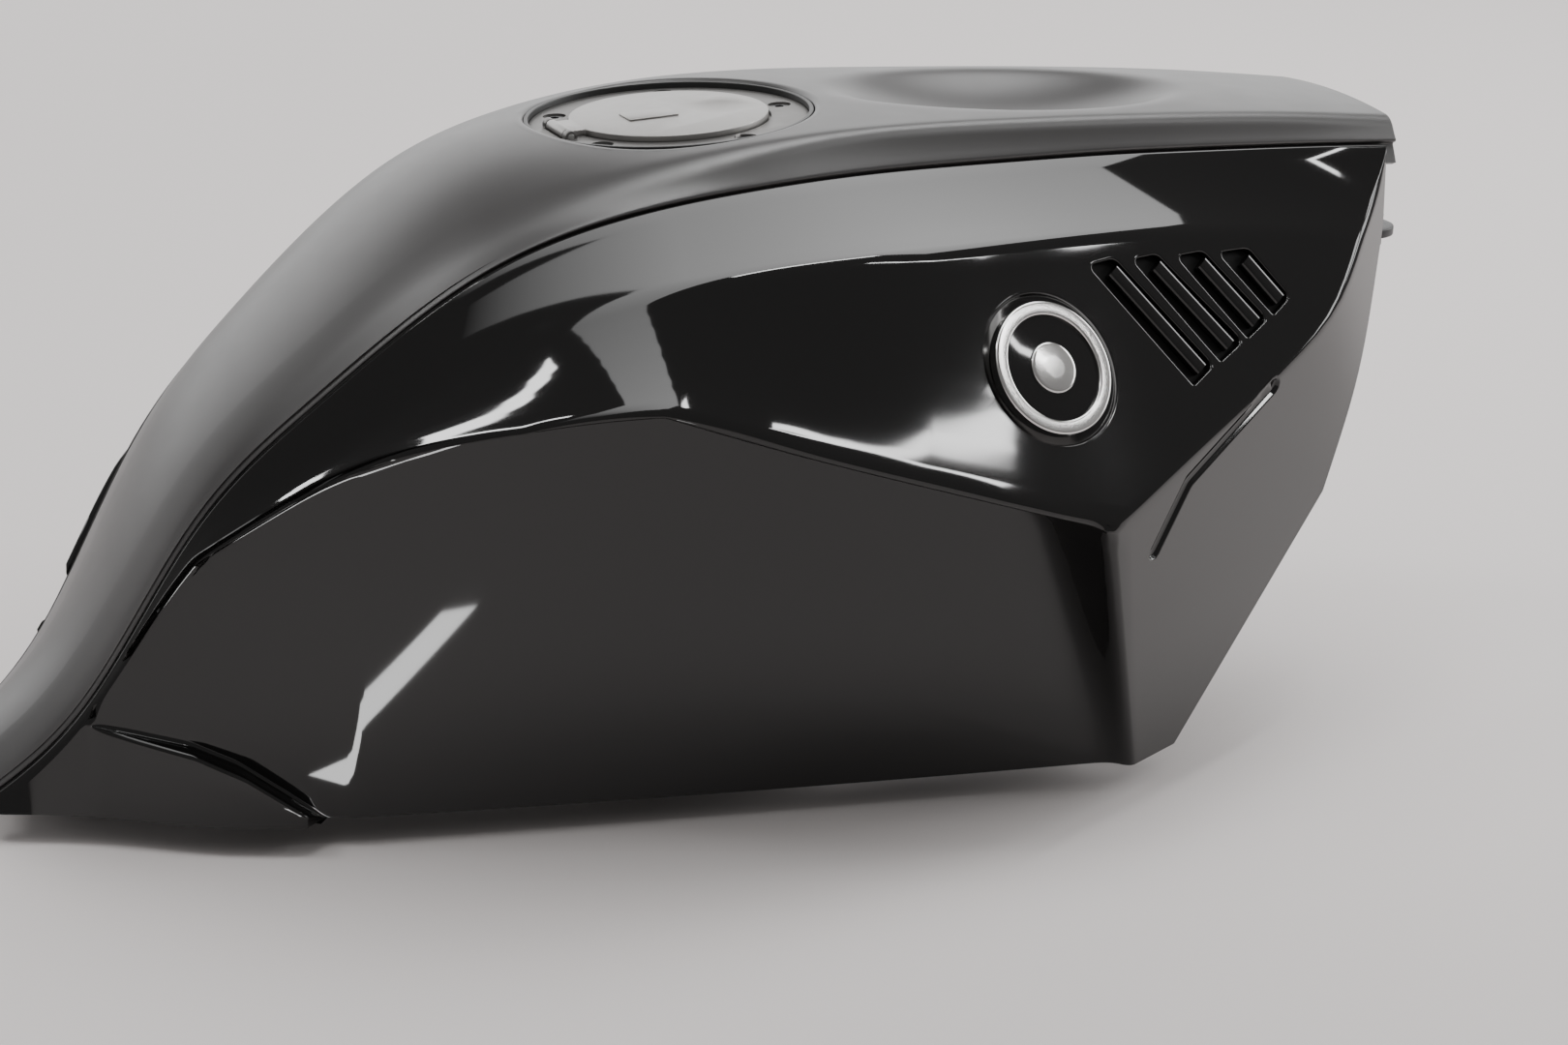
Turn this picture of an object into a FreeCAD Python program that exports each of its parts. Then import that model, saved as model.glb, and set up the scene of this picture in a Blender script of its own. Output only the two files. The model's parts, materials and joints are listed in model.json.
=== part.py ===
"""Fuel tank of a sport motorcycle with its cover panels, filler cap and fittings.

Millimetres.  +X is the front of the motorcycle, +Y the rider's left, +Z up.
The origin is the middle of the rear bracket's underside, between its two bolt
holes, on the plane of symmetry.  Levels of the filler cap are measured from the
top face of its flange, along the cap's own axis.
"""
import math
import os

import FreeCAD
import Part

V = FreeCAD.Vector

# Outer form, one row for each station along X.  The widths are half widths.
# x, crown z, shoulder w z, seam w z, crease w z, belly w z, base w
FORM = [
    (-40.0, 18.0, 30.0, 10.0, 38.0, 4.0, 40.0, 1.0, 43.0, -4.0, 46.0),
    (0.0, 60.0, 38.0, 51.0, 48.0, 45.0, 51.0, 43.0, 55.0, 34.0, 62.0),
    (40.0, 134.0, 47.0, 123.0, 59.0, 115.0, 67.0, 109.0, 76.0, 100.0, 84.0),
    (85.0, 190.0, 57.0, 177.0, 70.0, 166.0, 79.0, 147.0, 101.0, 134.0, 95.0),
    (150.0, 246.0, 67.0, 231.0, 83.0, 220.0, 102.0, 194.0, 135.0, 169.0, 118.0),
    (205.0, 265.0, 75.0, 254.0, 89.0, 243.0, 119.0, 219.0, 163.0, 181.0, 140.0),
    (260.0, 269.5, 76.0, 266.0, 88.0, 252.0, 127.0, 229.0, 177.0, 165.0, 152.0),
    (320.0, 273.0, 70.0, 271.0, 79.0, 255.0, 124.0, 231.0, 180.0, 146.0, 168.0),
    (390.0, 274.5, 64.0, 271.0, 71.0, 255.5, 110.0, 230.0, 178.0, 126.0, 178.0),
    (440.0, 274.0, 61.0, 270.0, 67.0, 255.5, 101.0, 228.5, 170.0, 122.0, 173.0),
    (490.0, 272.0, 57.5, 268.5, 63.5, 254.5, 92.0, 225.0, 161.0, 117.0, 166.0),
    (540.0, 269.0, 54.0, 266.0, 60.0, 253.0, 84.0, 220.0, 155.0, 111.0, 162.0),
    (590.0, 265.0, 50.0, 262.0, 57.0, 251.0, 76.0, 214.0, 150.0, 104.0, 160.0),
]

# Planes of the front facets: three points, x, half width and z.
FACETS = [
    ((391.0, 179.0, 125.0), (537.0, 105.0, 191.0), (443.0, 130.0, 5.0)),
    ((537.0, 105.0, 191.0), (584.0, 58.0, 252.0), (562.0, 88.0, 128.0)),
]
# Front edge of the side covers in side view, x and z.
TRIM = [(447.0, -20.0), (552.0, 99.0), (584.0, 215.0), (584.0, 300.0)]

# Narrow pocket sunk in the front facet: x, half width and z of its bends.
POCKET = [(424.0, 157.5, 106.0), (441.0, 151.5, 134.0), (495.0, 125.7, 164.0)]
POCKET_WIDTH = 6.5
POCKET_DEPTH = 1.8

# Knee recess: roof line in side view, x and z.
RECESS_REAR = (1.0, 38.0)
RECESS_HEEL = (20.0, 88.0)
RECESS_ROOF = (108.0, 153.0)
RECESS_KINK = (203.0, 181.0)
RECESS_FRONT = (394.0, 123.0)
RECESS_FLARE = [(92.0, -4.0), (74.0, 9.0), (55.0, 22.0), (37.0, 30.0)]
# Knee recess: x and half width of the wall's plan points at two levels.
RECESS_TOP_Z = 190.0
RECESS_LOW_Z = -20.0
RECESS_TOP = [(-80.0, 19.0), (100.0, 88.0), (220.0, 124.0), (346.2, 150.0), (391.0, 260.0)]
RECESS_LOW = [(-80.0, 26.0), (100.0, 90.0), (270.0, 110.0), (440.0, 125.0), (495.0, 260.0)]

# Bowl in the top cover ahead of the cap.
BOWL_X = 424.0
BOWL_LENGTH = 170.0
BOWL_RIM_Z = 274.0
BOWL_DEPTH = 17.0
BOWL_AXIS_UP = 62.0

# Covers and tank, as distances inward from the outer form.
COVER_WALL = 3.0
TOP_WALL = 4.0
LIP_PLAY = 0.3
LIP_WALL = 2.0
LIP_REACH = 12.0
LIP_OVERLAP = 6.0
TANK_IN = 16.0
TANK_SETBACK = 30.0
TANK_TRIM = 10.0
SEAM_SHIFT = (-0.8, 1.2)
SIDE_INNER_Y = 30.0

# Louvre slots in the side covers: x and z of the corners, each slot running
# from its upper rear corner to the upper front, lower front and lower rear.
SLOTS = [
    [(407.7, 219.1), (421.5, 220.5), (462.5, 176.3), (449.7, 170.2)],
    [(430.7, 219.3), (444.1, 220.0), (481.3, 183.4), (466.9, 177.2)],
    [(454.4, 218.4), (469.3, 218.8), (497.2, 190.1), (484.3, 184.1)],
    [(477.4, 217.6), (494.6, 217.5), (512.0, 197.2), (501.1, 191.2)],
]
SLOT_ROUND = (1.5, 6.0, 2.5, 1.5)
# Blade in each slot: its distance from the slot's top, front, low and rear side.
BLADE_IN = (4.0, 0.6, 2.5, 5.0)
BLADE_ROUND = (2.0, 2.0, 1.0, 1.0)
VENT_RIM = 9.0

# Badge on each side cover: x and z of its centre, ring radius and widths.
BADGE_POS = (378.0, 184.0)
BADGE_R = 28.7
BADGE_GAP = 3.8
BADGE_SINK = 1.6
BADGE_RISE = 3.0
BADGE_RING = 4.0
BADGE_STEP = 1.2

# Filler cap: rim centre, tilt to the rear in degrees, sink of the flange.
CAP_POS = (262.0, 0.0, 268.0)
CAP_TILT = 4.6
CAP_SINK = 3.5
FLANGE_R = 59.5
FLANGE_THICK = 8.0
FLANGE_PLAY = 0.3
SURROUND_WALL = 1.9
SURROUND_PLAY = 0.3
SURROUND_LOW = -5.0
SURROUND_DIP = 1.0
GASKET_THICK = 1.5
GASKET_EDGE = 2.5
WELL_R = 30.0
WELL_DEPTH = 95.0
THROAT_R = 27.0
LID_R = 42.5
LID_PLAY = 1.1
LID_SINK = 1.5
LID_THICK = 4.0
SEAT_PLAY = 0.5
PLUG_R = 20.0
PLUG_DEPTH = 14.0
SEAL_R = 33.5
SEAL_WALL = 5.5
SEAL_PLAY = 0.3
SEAT_DEPTH = 4.5
HINGE_X = -49.0
HINGE_Z = 0.8
KNUCKLE_R = 2.6
KNUCKLE_HALF = 10.3
EAR_PLAY = 0.5
EAR_LENGTH = 4.2
HINGE_PLAY = 0.8
PIN_R = 1.5
PIN_PLAY = 0.05
LOCK_X = -9.0
LOCK_R = 8.0
LOCK_LENGTH = 5.0
FLAP_SIZE = (22.0, 14.0, 0.8)
DIMPLE_X = 23.0
DIMPLE_R = 14.0
DIMPLE_DEPTH = 1.6

# Underside of the tank.
TANK_LOW = 12.0
WELD_THICK = 2.4
TUNNEL_START = 70.0
TUNNEL_HALF = 52.0
TUNNEL_TOP = 92.0
AIRBOX_START = 350.0
AIRBOX_HALF = 80.0
AIRBOX_TOP = 168.0

# Rear bracket, welded under the rear of the tank.
REAR_SPACING = 60.0
REAR_HOLE_R = 3.3
REAR_LENGTH = 34.0
REAR_EDGE = 12.0
REAR_THICK = 4.0

# Front brackets with their rubber bushes and steel sleeves.
FRONT_Y = 30.0
FRONT_Z = 205.0
FRONT_REACH = 30.0
FRONT_PLATE = 4.0
FRONT_EDGE = 5.0
FRONT_FOOT = 24.0
SLEEVE_BORE_R = 4.2
SLEEVE_WALL = 1.8
SLEEVE_HEIGHT = 16.0
BUSH_WALL = 6.0
BUSH_SHORT = 1.0
BUSH_GROOVE = 2.0

# Pump flange under the tank and its fittings.
PUMP_X = 210.0
PUMP_R = 46.0
PUMP_PLATE = 4.0
PUMP_SEAL = 1.5
PUMP_SEAL_WALL = 10.0
PUMP_SEAL_EDGE = 4.0
PUMP_DOME_R = 30.0
PUMP_DOME = 16.0
OUTLET_R = 3.95
OUTLET_BORE_R = 2.0
OUTLET_LENGTH = 26.0
COLLAR_R = 6.0
COLLAR_OUT = 2.0
COLLAR_ROOT = 8.0
SOCKET_SIZE = (16.0, 22.0, 15.0)
SOCKET_WALL = 1.5
SOCKET_FLOOR = 4.0

# Breather and drain nipples at the rear of the tank.
NIPPLE_X = 52.0
NIPPLE_Y = 24.0
NIPPLE_R = 3.0
NIPPLE_BORE_R = 1.5
NIPPLE_DROP = 24.0

# Rubber pads between the tank and its covers.
PAD_R = 11.0
TOP_PADS = [("front", 535.0), ("rear", 110.0)]
SIDE_PAD = (330.0, 30.0)

RIGHT = -1
FAR = 400.0
FORMS = {}


def wire(points):
    """Closed polygon through the points."""
    return Part.makePolygon([V(*p) for p in points + points[:1]])


def chain_edges(points):
    return [Part.makeLine(a, b) for a, b in zip(points[:-1], points[1:])]


def prism_xz(points, half):
    """Solid standing on a polygon in side view, reaching half to each side."""
    face = Part.Face(wire([(x, -half, z) for x, z in points]))
    return face.extrude(V(0, 2 * half, 0))


def cylinder(radius, low, high, x=0.0, y=0.0):
    return Part.makeCylinder(radius, high - low, V(x, y, low))


def across(radius, y0, y1, x, z):
    """Cylinder lying along Y."""
    return Part.makeCylinder(radius, y1 - y0, V(x, y0, z), V(0, 1, 0))


def along(radius, x0, x1, z):
    """Cylinder lying along X on the plane of symmetry."""
    return Part.makeCylinder(radius, x1 - x0, V(x0, 0, z), V(1, 0, 0))


def tube(outer, inner, low, high, x=0.0, y=0.0):
    return cylinder(outer, low, high, x, y).cut(cylinder(inner, low - 1, high + 1, x, y))


def block(x0, x1, y0, y1, z0, z1):
    return Part.makeBox(x1 - x0, y1 - y0, z1 - z0, V(x0, y0, z0))


def mirrored(shape):
    return shape.mirror(V(0, 0, 0), V(0, 1, 0))


def on_cap(shape):
    """Bring a shape built on the flange's top face to its place."""
    out = shape.copy()
    out.translate(V(0, 0, -CAP_SINK))
    out.rotate(V(0, 0, 0), V(0, 1, 0), -CAP_TILT)
    out.translate(V(*CAP_POS))
    return out


def section(row, d):
    """Closed section of the form at one station, moved inward by d."""
    x, crown, shw, shz, sew, sez, crw, crz, bew, bez, baw = row
    right = [
        (shw - 0.7 * d, shz - 0.8 * d),
        (sew - 0.8 * d, sez - 0.6 * d),
        (crw - 0.6 * d, crz - 0.8 * d),
        (bew - d, bez - 0.5 * d),
        (baw - d, -60.0),
    ]
    p = [V(x, -w, z) for w, z in right]
    q = [V(x, w, z) for w, z in reversed(right)]
    top = Part.Arc(q[-1], V(x, 0, crown - d), p[0]).toShape()
    return Part.Wire([top] + chain_edges(p + q))


def facet_plane(points, side):
    """A point and the outward normal of a facet."""
    a, b, c = [V(x, side * w, z) for x, w, z in points]
    n = (b - a).cross(c - a)
    n.normalize()
    return a, n if n.x > 0 else n * -1.0


def facet_tool(points, side, d):
    """Block in front of a facet plane, moved inward by d."""
    a, n = facet_plane(points, side)
    size = 2 * FAR
    box = Part.makeBox(size, size, size, V(-size / 2, -size / 2, 0))
    box.Placement = FreeCAD.Placement(a - n * d, FreeCAD.Rotation(V(0, 0, 1), n)).multiply(box.Placement)
    return box


def recess_wire(points, z, side, d):
    """Plan outline of the knee recess at one level, grown by d."""
    grown = [(x, w - d) for x, w in points[:3]] + [(x + d, w) for x, w in points[3:]]
    p = [V(x, side * w, z) for x, w in grown]
    corner = V(p[0].x, p[4].y, z)
    wall = Part.Arc(p[1], p[2], p[3]).toShape()
    return Part.Wire([Part.makeLine(p[0], p[1]), wall] + chain_edges([p[3], p[4], corner, p[0]]))


def recess_tool(side, d):
    """Knee recess of one side, grown by d."""
    low = recess_wire(RECESS_LOW, RECESS_LOW_Z, side, d)
    high = recess_wire(RECESS_TOP, RECESS_TOP_Z + d, side, d)
    body = Part.makeLoft([low, high], True, True)
    rear = V(RECESS_REAR[0] - d, 0, RECESS_REAR[1])
    heel = V(RECESS_HEEL[0] - d, 0, RECESS_HEEL[1] + 0.6 * d)
    roof = V(RECESS_ROOF[0], 0, RECESS_ROOF[1] + d)
    kink = V(RECESS_KINK[0], 0, RECESS_KINK[1] + d)
    fall = (RECESS_FRONT[1] - RECESS_KINK[1]) / (RECESS_FRONT[0] - RECESS_KINK[0])
    far = V(RECESS_FRONT[0] + 120.0, 0, RECESS_FRONT[1] + d + 120.0 * fall)
    floor = RECESS_LOW_Z - 1.0
    under = [kink, far, V(far.x, 0, floor), V(RECESS_FLARE[0][0], 0, floor)]
    under += [V(x, 0, z - d) for x, z in RECESS_FLARE] + [rear, heel]
    arch = Part.Arc(heel, roof, kink).toShape()
    face = Part.Face(Part.Wire([arch] + chain_edges(under)))
    return body.common(face.extrude(V(0, side * FAR, 0)))


def bowl_tool(d):
    """Spindle whose lower flank sinks the bowl into the top cover."""
    half = BOWL_LENGTH / 2 + 2 * d
    axis_z = BOWL_RIM_Z + BOWL_AXIS_UP
    end_z = BOWL_RIM_Z - 0.2 * d
    a = V(BOWL_X - half, 0, end_z)
    m = V(BOWL_X, 0, BOWL_RIM_Z - BOWL_DEPTH - d)
    b = V(BOWL_X + half, 0, end_z)
    flank = Part.Arc(a, m, b).toShape()
    face = Part.Face(Part.Wire([flank] + chain_edges([b, V(b.x, 0, axis_z), V(a.x, 0, axis_z), a])))
    return face.revolve(V(0, 0, axis_z), V(1, 0, 0), 360)


def form(d, front=0.0, rear=0.0):
    """Outer form moved inward by d, its ends cut back by front and rear."""
    if d not in FORMS:
        loft = Part.makeLoft([section(row, d) for row in FORM], True, False)
        tools = [bowl_tool(d)]
        for side in (-1, 1):
            tools += [facet_tool(points, side, d) for points in FACETS]
            tools.append(recess_tool(side, d))
        floor = -30.0 if d > 0 else 0.0
        tools.append(block(-200, 700, -FAR, FAR, -200, floor))
        FORMS[d] = loft.cut(tools)
    shape = FORMS[d]
    if front > 0 or rear > 0:
        x0 = FORM[0][0] + rear
        x1 = FORM[-1][0] - front
        shape = shape.common(block(x0, x1, -FAR, FAR, -50, FAR))
    return shape


def seam_prism(shift, drop, above):
    """Solid above or below the seam line in side view."""
    dx, dz = shift
    points = [V(row[0] + dx, 0, row[5] + dz - drop) for row in FORM]
    first = V(points[0].x - 40.0, 0, points[0].z - 30.0)
    last = V(points[-1].x + 40.0, 0, points[-1].z - 1.5)
    curve = Part.BSplineCurve()
    curve.interpolate([first] + points + [last])
    z = 500.0 if above else -200.0
    back = first.x - 60.0
    corners = [last, V(last.x, 0, z), V(back, 0, z), V(back, 0, first.z - 40.0), first]
    face = Part.Face(Part.Wire([curve.toShape()] + chain_edges(corners)))
    face.translate(V(0, -FAR, 0))
    return face.extrude(V(0, 2 * FAR, 0))


def side_at(x, z):
    """Half width and outward normal of the side between crease and belly."""
    for a, b in zip(FORM[:-1], FORM[1:]):
        if a[0] <= x <= b[0]:
            step = b[0] - a[0]
            crw, crz, bew, bez = [p + (q - p) * (x - a[0]) / step for p, q in zip(a[6:10], b[6:10])]
            dcrw, dcrz, dbew, dbez = [(q - p) / step for p, q in zip(a[6:10], b[6:10])]
    u = (z - crz) / (bez - crz)
    w = crw + (bew - crw) * u
    down = V(0, bew - crw, bez - crz)
    widening = dcrw + (dbew - dcrw) * u - (dcrz + (dbez - dcrz) * u) * down.y / down.z
    n = down.cross(V(1, widening, 0))
    n.normalize()
    return w, n if n.y > 0 else n * -1.0


def on_side(shape, x, z):
    """Stand a shape built on +Z on the right side cover at x and z."""
    w, n = side_at(x, z)
    n = V(n.x, RIGHT * n.y, n.z)
    out = shape.copy()
    turn = FreeCAD.Rotation(V(0, 0, 1), n)
    out.Placement = FreeCAD.Placement(V(x, RIGHT * w, z), turn).multiply(out.Placement)
    return out


def inset(corners, gaps):
    """Clockwise polygon in side view with each side moved inward by its gap."""
    sides = []
    for i, gap in enumerate(gaps):
        x0, z0 = corners[i]
        x1, z1 = corners[(i + 1) % len(corners)]
        length = math.hypot(x1 - x0, z1 - z0)
        dx, dz = (x1 - x0) / length, (z1 - z0) / length
        sides.append((x0 + dz * gap, z0 - dx * gap, dx, dz))
    moved = []
    for (ax, az, adx, adz), (bx, bz, bdx, bdz) in zip(sides[-1:] + sides[:-1], sides):
        t = ((bx - ax) * bdz - (bz - az) * bdx) / (adx * bdz - adz * bdx)
        moved.append((ax + t * adx, az + t * adz))
    return moved


def slot_prism(corners, radii):
    """Prism on the right through a polygon in side view with rounded corners."""
    y0, y1 = -250.0, -60.0
    solid = Part.Face(wire([(x, y0, z) for x, z in corners])).extrude(V(0, y1 - y0, 0))
    for (x, z), radius in zip(corners, radii):
        corner = Part.Vertex(x, y0, z)
        upright = [e for e in solid.Edges if e.Length > y1 - y0 - 1 and e.distToShape(corner)[0] < 0.01]
        solid = solid.makeFillet(radius, upright)
    return solid


def pocket_tool():
    """Groove along the bends of the facet's pocket."""
    a, n = facet_plane(FACETS[0], RIGHT)
    bends = [V(x, RIGHT * w, z) for x, w, z in POCKET]
    bends = [p - n * ((p - a).dot(n) + POCKET_DEPTH) for p in bends]
    pieces = [Part.makeCylinder(POCKET_WIDTH / 2, 20.0, p, n) for p in bends]
    for p, q in zip(bends[:-1], bends[1:]):
        half = n.cross(q - p)
        half.normalize()
        half = half * (POCKET_WIDTH / 2)
        face = Part.Face(Part.makePolygon([p + half, q + half, q - half, p - half, p + half]))
        pieces.append(face.extrude(n * 20.0))
    return pieces[0].fuse(pieces[1:])


def build_covers():
    """Top cover with its joggled lip, and right side cover."""
    outer = form(0.0)
    lip_in = COVER_WALL + LIP_PLAY
    lip_out = lip_in + LIP_WALL
    seam = (0.0, 0.0)
    top = outer.cut(form(TOP_WALL, TOP_WALL, TOP_WALL)).common(seam_prism(SEAM_SHIFT, 0.0, True))
    lip = form(lip_in).cut(form(lip_out))
    lip = lip.common(seam_prism(seam, LIP_REACH, True)).cut(seam_prism(seam, -LIP_OVERLAP, True))
    lip = lip.common(block(FORM[0][0] + 60.0, FORM[-1][0] - lip_out, -FAR, FAR, -50, FAR))
    top = top.fuse(lip)
    hole_r = FLANGE_R + FLANGE_PLAY + SURROUND_WALL + SURROUND_PLAY
    top = top.cut(on_cap(cylinder(hole_r, -30.0, 60.0)))

    side = outer.cut(form(COVER_WALL, COVER_WALL, COVER_WALL)).common(seam_prism(seam, 0.0, False))
    side = side.common(block(-100, 700, -FAR, -SIDE_INNER_Y, -20, FAR))
    cuts = [prism_xz(TRIM + [(700.0, 300.0), (700.0, -20.0)], FAR), pocket_tool()]
    cuts += [slot_prism(slot, SLOT_ROUND) for slot in SLOTS]
    cuts.append(on_side(cylinder(BADGE_R + BADGE_GAP, -BADGE_SINK, 30.0), *BADGE_POS))
    return top, side.cut(cuts)


def build_vent():
    """Plate behind the louvre slots with one raised blade in each slot."""
    near = COVER_WALL + LIP_PLAY
    rims = [slot_prism(inset(slot, [-VENT_RIM] * 4), [VENT_RIM / 2] * 4) for slot in SLOTS]
    plate = form(near).cut(form(near + LIP_WALL)).common(rims[0].fuse(rims[1:]))
    solid = form(0.0).cut(form(near + LIP_WALL))
    return plate.fuse([solid.common(slot_prism(inset(slot, BLADE_IN), BLADE_ROUND)) for slot in SLOTS])


def build_badge():
    disc = cylinder(BADGE_R - BADGE_RING, -BADGE_SINK, BADGE_RISE - BADGE_STEP)
    ring = tube(BADGE_R, BADGE_R - BADGE_RING - 0.5, -BADGE_SINK, BADGE_RISE)
    return on_side(disc.fuse(ring), *BADGE_POS)


def build_tank():
    """Tank with its weld lip, seat for the filler neck, tunnel and airbox space."""
    weld_in = COVER_WALL + LIP_PLAY + LIP_WALL
    tank = form(TANK_IN, TANK_SETBACK, TANK_IN).common(block(-100, 700, -FAR, FAR, TANK_LOW, FAR))
    lip = form(weld_in, TANK_SETBACK - weld_in, TANK_IN - weld_in)
    lip = lip.common(block(-100, 700, -FAR, FAR, TANK_LOW, TANK_LOW + WELD_THICK))
    seat = on_cap(cylinder(FLANGE_R - GASKET_EDGE, -WELL_DEPTH, 60.0))
    tunnel = block(TUNNEL_START, 700, -TUNNEL_HALF, TUNNEL_HALF, -20, TUNNEL_TOP)
    airbox = block(AIRBOX_START, 700, -AIRBOX_HALF, AIRBOX_HALF, -20, AIRBOX_TOP)
    front = [(x - TANK_TRIM, z) for x, z in TRIM] + [(700.0, 300.0), (700.0, -20.0)]
    return tank.fuse(lip).cut([seat, tunnel, airbox, prism_xz(front, FAR)])


def build_neck():
    """Ring round the filler well, from its floor up to the cap's gasket."""
    neck_top = -FLANGE_THICK - GASKET_THICK
    return on_cap(tube(FLANGE_R - GASKET_EDGE, WELL_R, -WELL_DEPTH, neck_top))


def build_surround():
    inner = FLANGE_R + FLANGE_PLAY
    return on_cap(tube(inner + SURROUND_WALL, inner, SURROUND_LOW, CAP_SINK - SURROUND_DIP))


def build_cap():
    """Flange, gasket, lid with its seal, lock, flap and hinge pin."""
    pieces = {}
    lid_low = -LID_SINK
    lid_top = lid_low + LID_THICK
    rest = lid_low - SEAT_PLAY
    ear_start = KNUCKLE_HALF + EAR_PLAY
    ear_end = ear_start + EAR_LENGTH
    flange = tube(FLANGE_R, THROAT_R, -FLANGE_THICK, 0.0)
    for y0, y1 in ((ear_start, ear_end), (-ear_end, -ear_start)):
        ear = across(KNUCKLE_R, y0, y1, HINGE_X, HINGE_Z)
        foot = block(HINGE_X - KNUCKLE_R, HINGE_X + KNUCKLE_R, y0, y1, -1.0, HINGE_Z)
        flange = flange.fuse([ear, foot])
    clear = KNUCKLE_R + HINGE_PLAY
    flange = flange.cut([
        cylinder(LID_R + LID_PLAY, rest, 1.0),
        cylinder(SEAL_R + 2.0, -SEAT_DEPTH, 1.0),
        block(HINGE_X - clear, -30.0, -ear_start, ear_start, rest, 9.0),
        block(HINGE_X - clear, HINGE_X + clear, -ear_start, ear_start, HINGE_Z - clear, 9.0),
        across(PIN_R, -ear_end - 1, ear_end + 1, HINGE_X, HINGE_Z),
    ])
    pieces["cap_flange"] = flange
    gasket_r = FLANGE_R - GASKET_EDGE - 1.0
    pieces["cap_gasket"] = tube(gasket_r, WELL_R + 1.0, -FLANGE_THICK - GASKET_THICK, -FLANGE_THICK)

    lid = cylinder(LID_R, lid_low, lid_top)
    tab = block(HINGE_X, -30.0, -KNUCKLE_HALF, KNUCKLE_HALF, lid_low, lid_top)
    knuckle = across(KNUCKLE_R, -KNUCKLE_HALF, KNUCKLE_HALF, HINGE_X, HINGE_Z)
    lid = lid.fuse([tab, knuckle, cylinder(PLUG_R, -PLUG_DEPTH, lid_low + 1.0)])
    ball_r = (DIMPLE_R ** 2 + DIMPLE_DEPTH ** 2) / (2 * DIMPLE_DEPTH)
    ball = Part.makeSphere(ball_r, V(DIMPLE_X, 0, lid_top - DIMPLE_DEPTH + ball_r))
    lid = lid.cut([ball, across(PIN_R + PIN_PLAY, -30.0, 30.0, HINGE_X, HINGE_Z)])
    pieces["cap_lid"] = lid
    pieces["lid_seal"] = tube(SEAL_R, SEAL_R - SEAL_WALL, -SEAT_DEPTH + SEAL_PLAY, lid_low)
    pieces["lock_body"] = cylinder(LOCK_R, -PLUG_DEPTH - LOCK_LENGTH, -PLUG_DEPTH, LOCK_X)
    length, width, thick = FLAP_SIZE
    x0 = LOCK_X - length / 2
    pieces["lock_cover"] = block(x0, x0 + length, -width / 2, width / 2, lid_top, lid_top + thick)
    pieces["hinge_pin"] = across(PIN_R, -ear_end, ear_end, HINGE_X, HINGE_Z)
    return {name: on_cap(shape) for name, shape in pieces.items()}


def build_rear_bracket():
    """Plate on the frame with a web up to the tank's underside."""
    half = REAR_SPACING / 2 + REAR_EDGE
    x1 = REAR_LENGTH / 2
    bracket = block(-x1, x1, -half, half, 0.0, REAR_THICK)
    bracket = bracket.fuse(block(x1 - REAR_THICK, x1, -half, half, 0.0, TANK_LOW))
    spots = (-REAR_SPACING / 2, REAR_SPACING / 2)
    return bracket.cut([cylinder(REAR_HOLE_R, -1.0, REAR_THICK + 1.0, 0.0, y) for y in spots])


def build_front_mount():
    """Bracket, rubber bush and steel sleeve of the right side."""
    x0 = FORM[-1][0] - TANK_SETBACK
    xc = x0 + FRONT_REACH
    y = RIGHT * FRONT_Y
    sleeve_r = SLEEVE_BORE_R + SLEEVE_WALL
    bush_r = sleeve_r + BUSH_WALL
    half = bush_r + FRONT_EDGE
    top = FRONT_Z + FRONT_PLATE
    plate = block(x0, xc, y - half, y + half, FRONT_Z, top)
    foot = block(x0, x0 + FRONT_PLATE, y - half, y + half, top - FRONT_FOOT, top)
    plate = plate.fuse([foot, cylinder(half, FRONT_Z, top, xc, y)])
    plate = plate.cut(cylinder(bush_r - BUSH_GROOVE, FRONT_Z - 1, top + 1, xc, y))
    low = FRONT_Z + FRONT_PLATE / 2 - SLEEVE_HEIGHT / 2
    high = low + SLEEVE_HEIGHT
    bush = tube(bush_r, sleeve_r, low + BUSH_SHORT, high - BUSH_SHORT, xc, y)
    bush = bush.cut(tube(bush_r + 1.0, bush_r - BUSH_GROOVE, FRONT_Z, top, xc, y))
    return plate, bush, tube(sleeve_r, SLEEVE_BORE_R, low, high, xc, y)


def build_pump():
    """Pump flange with gasket, outlet spigot and plug socket, under the tank."""
    pieces = {}
    seal_r = PUMP_R - PUMP_SEAL_EDGE
    top = TUNNEL_TOP - PUMP_SEAL
    low = top - PUMP_PLATE
    dome = low - PUMP_DOME
    mid = low - PUMP_DOME / 2
    x1 = PUMP_X + PUMP_DOME_R
    x0 = x1 - COLLAR_ROOT
    x2 = x1 + COLLAR_OUT
    x3 = x2 + OUTLET_LENGTH
    pieces["pump_gasket"] = tube(seal_r, seal_r - PUMP_SEAL_WALL, top, TUNNEL_TOP, PUMP_X)
    flange = cylinder(PUMP_R, low, top, PUMP_X).fuse(cylinder(PUMP_DOME_R, dome, low, PUMP_X))
    collar = along(COLLAR_R, x0, x2, mid)
    pieces["pump_flange"] = flange.cut(collar)
    spigot = collar.fuse(along(OUTLET_R, x2, x3, mid))
    pieces["fuel_outlet"] = spigot.cut(along(OUTLET_BORE_R, x0 + COLLAR_ROOT / 2, x3 + 1, mid))
    lx, ly, lz = SOCKET_SIZE
    hx, hy = lx / 2, ly / 2
    ix, iy = hx - SOCKET_WALL, hy - SOCKET_WALL
    box = block(PUMP_X - hx, PUMP_X + hx, -hy, hy, dome - lz, dome)
    hollow = block(PUMP_X - ix, PUMP_X + ix, -iy, iy, dome - lz - 1, dome - SOCKET_FLOOR)
    pieces["pump_connector"] = box.cut(hollow)
    return pieces


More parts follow.
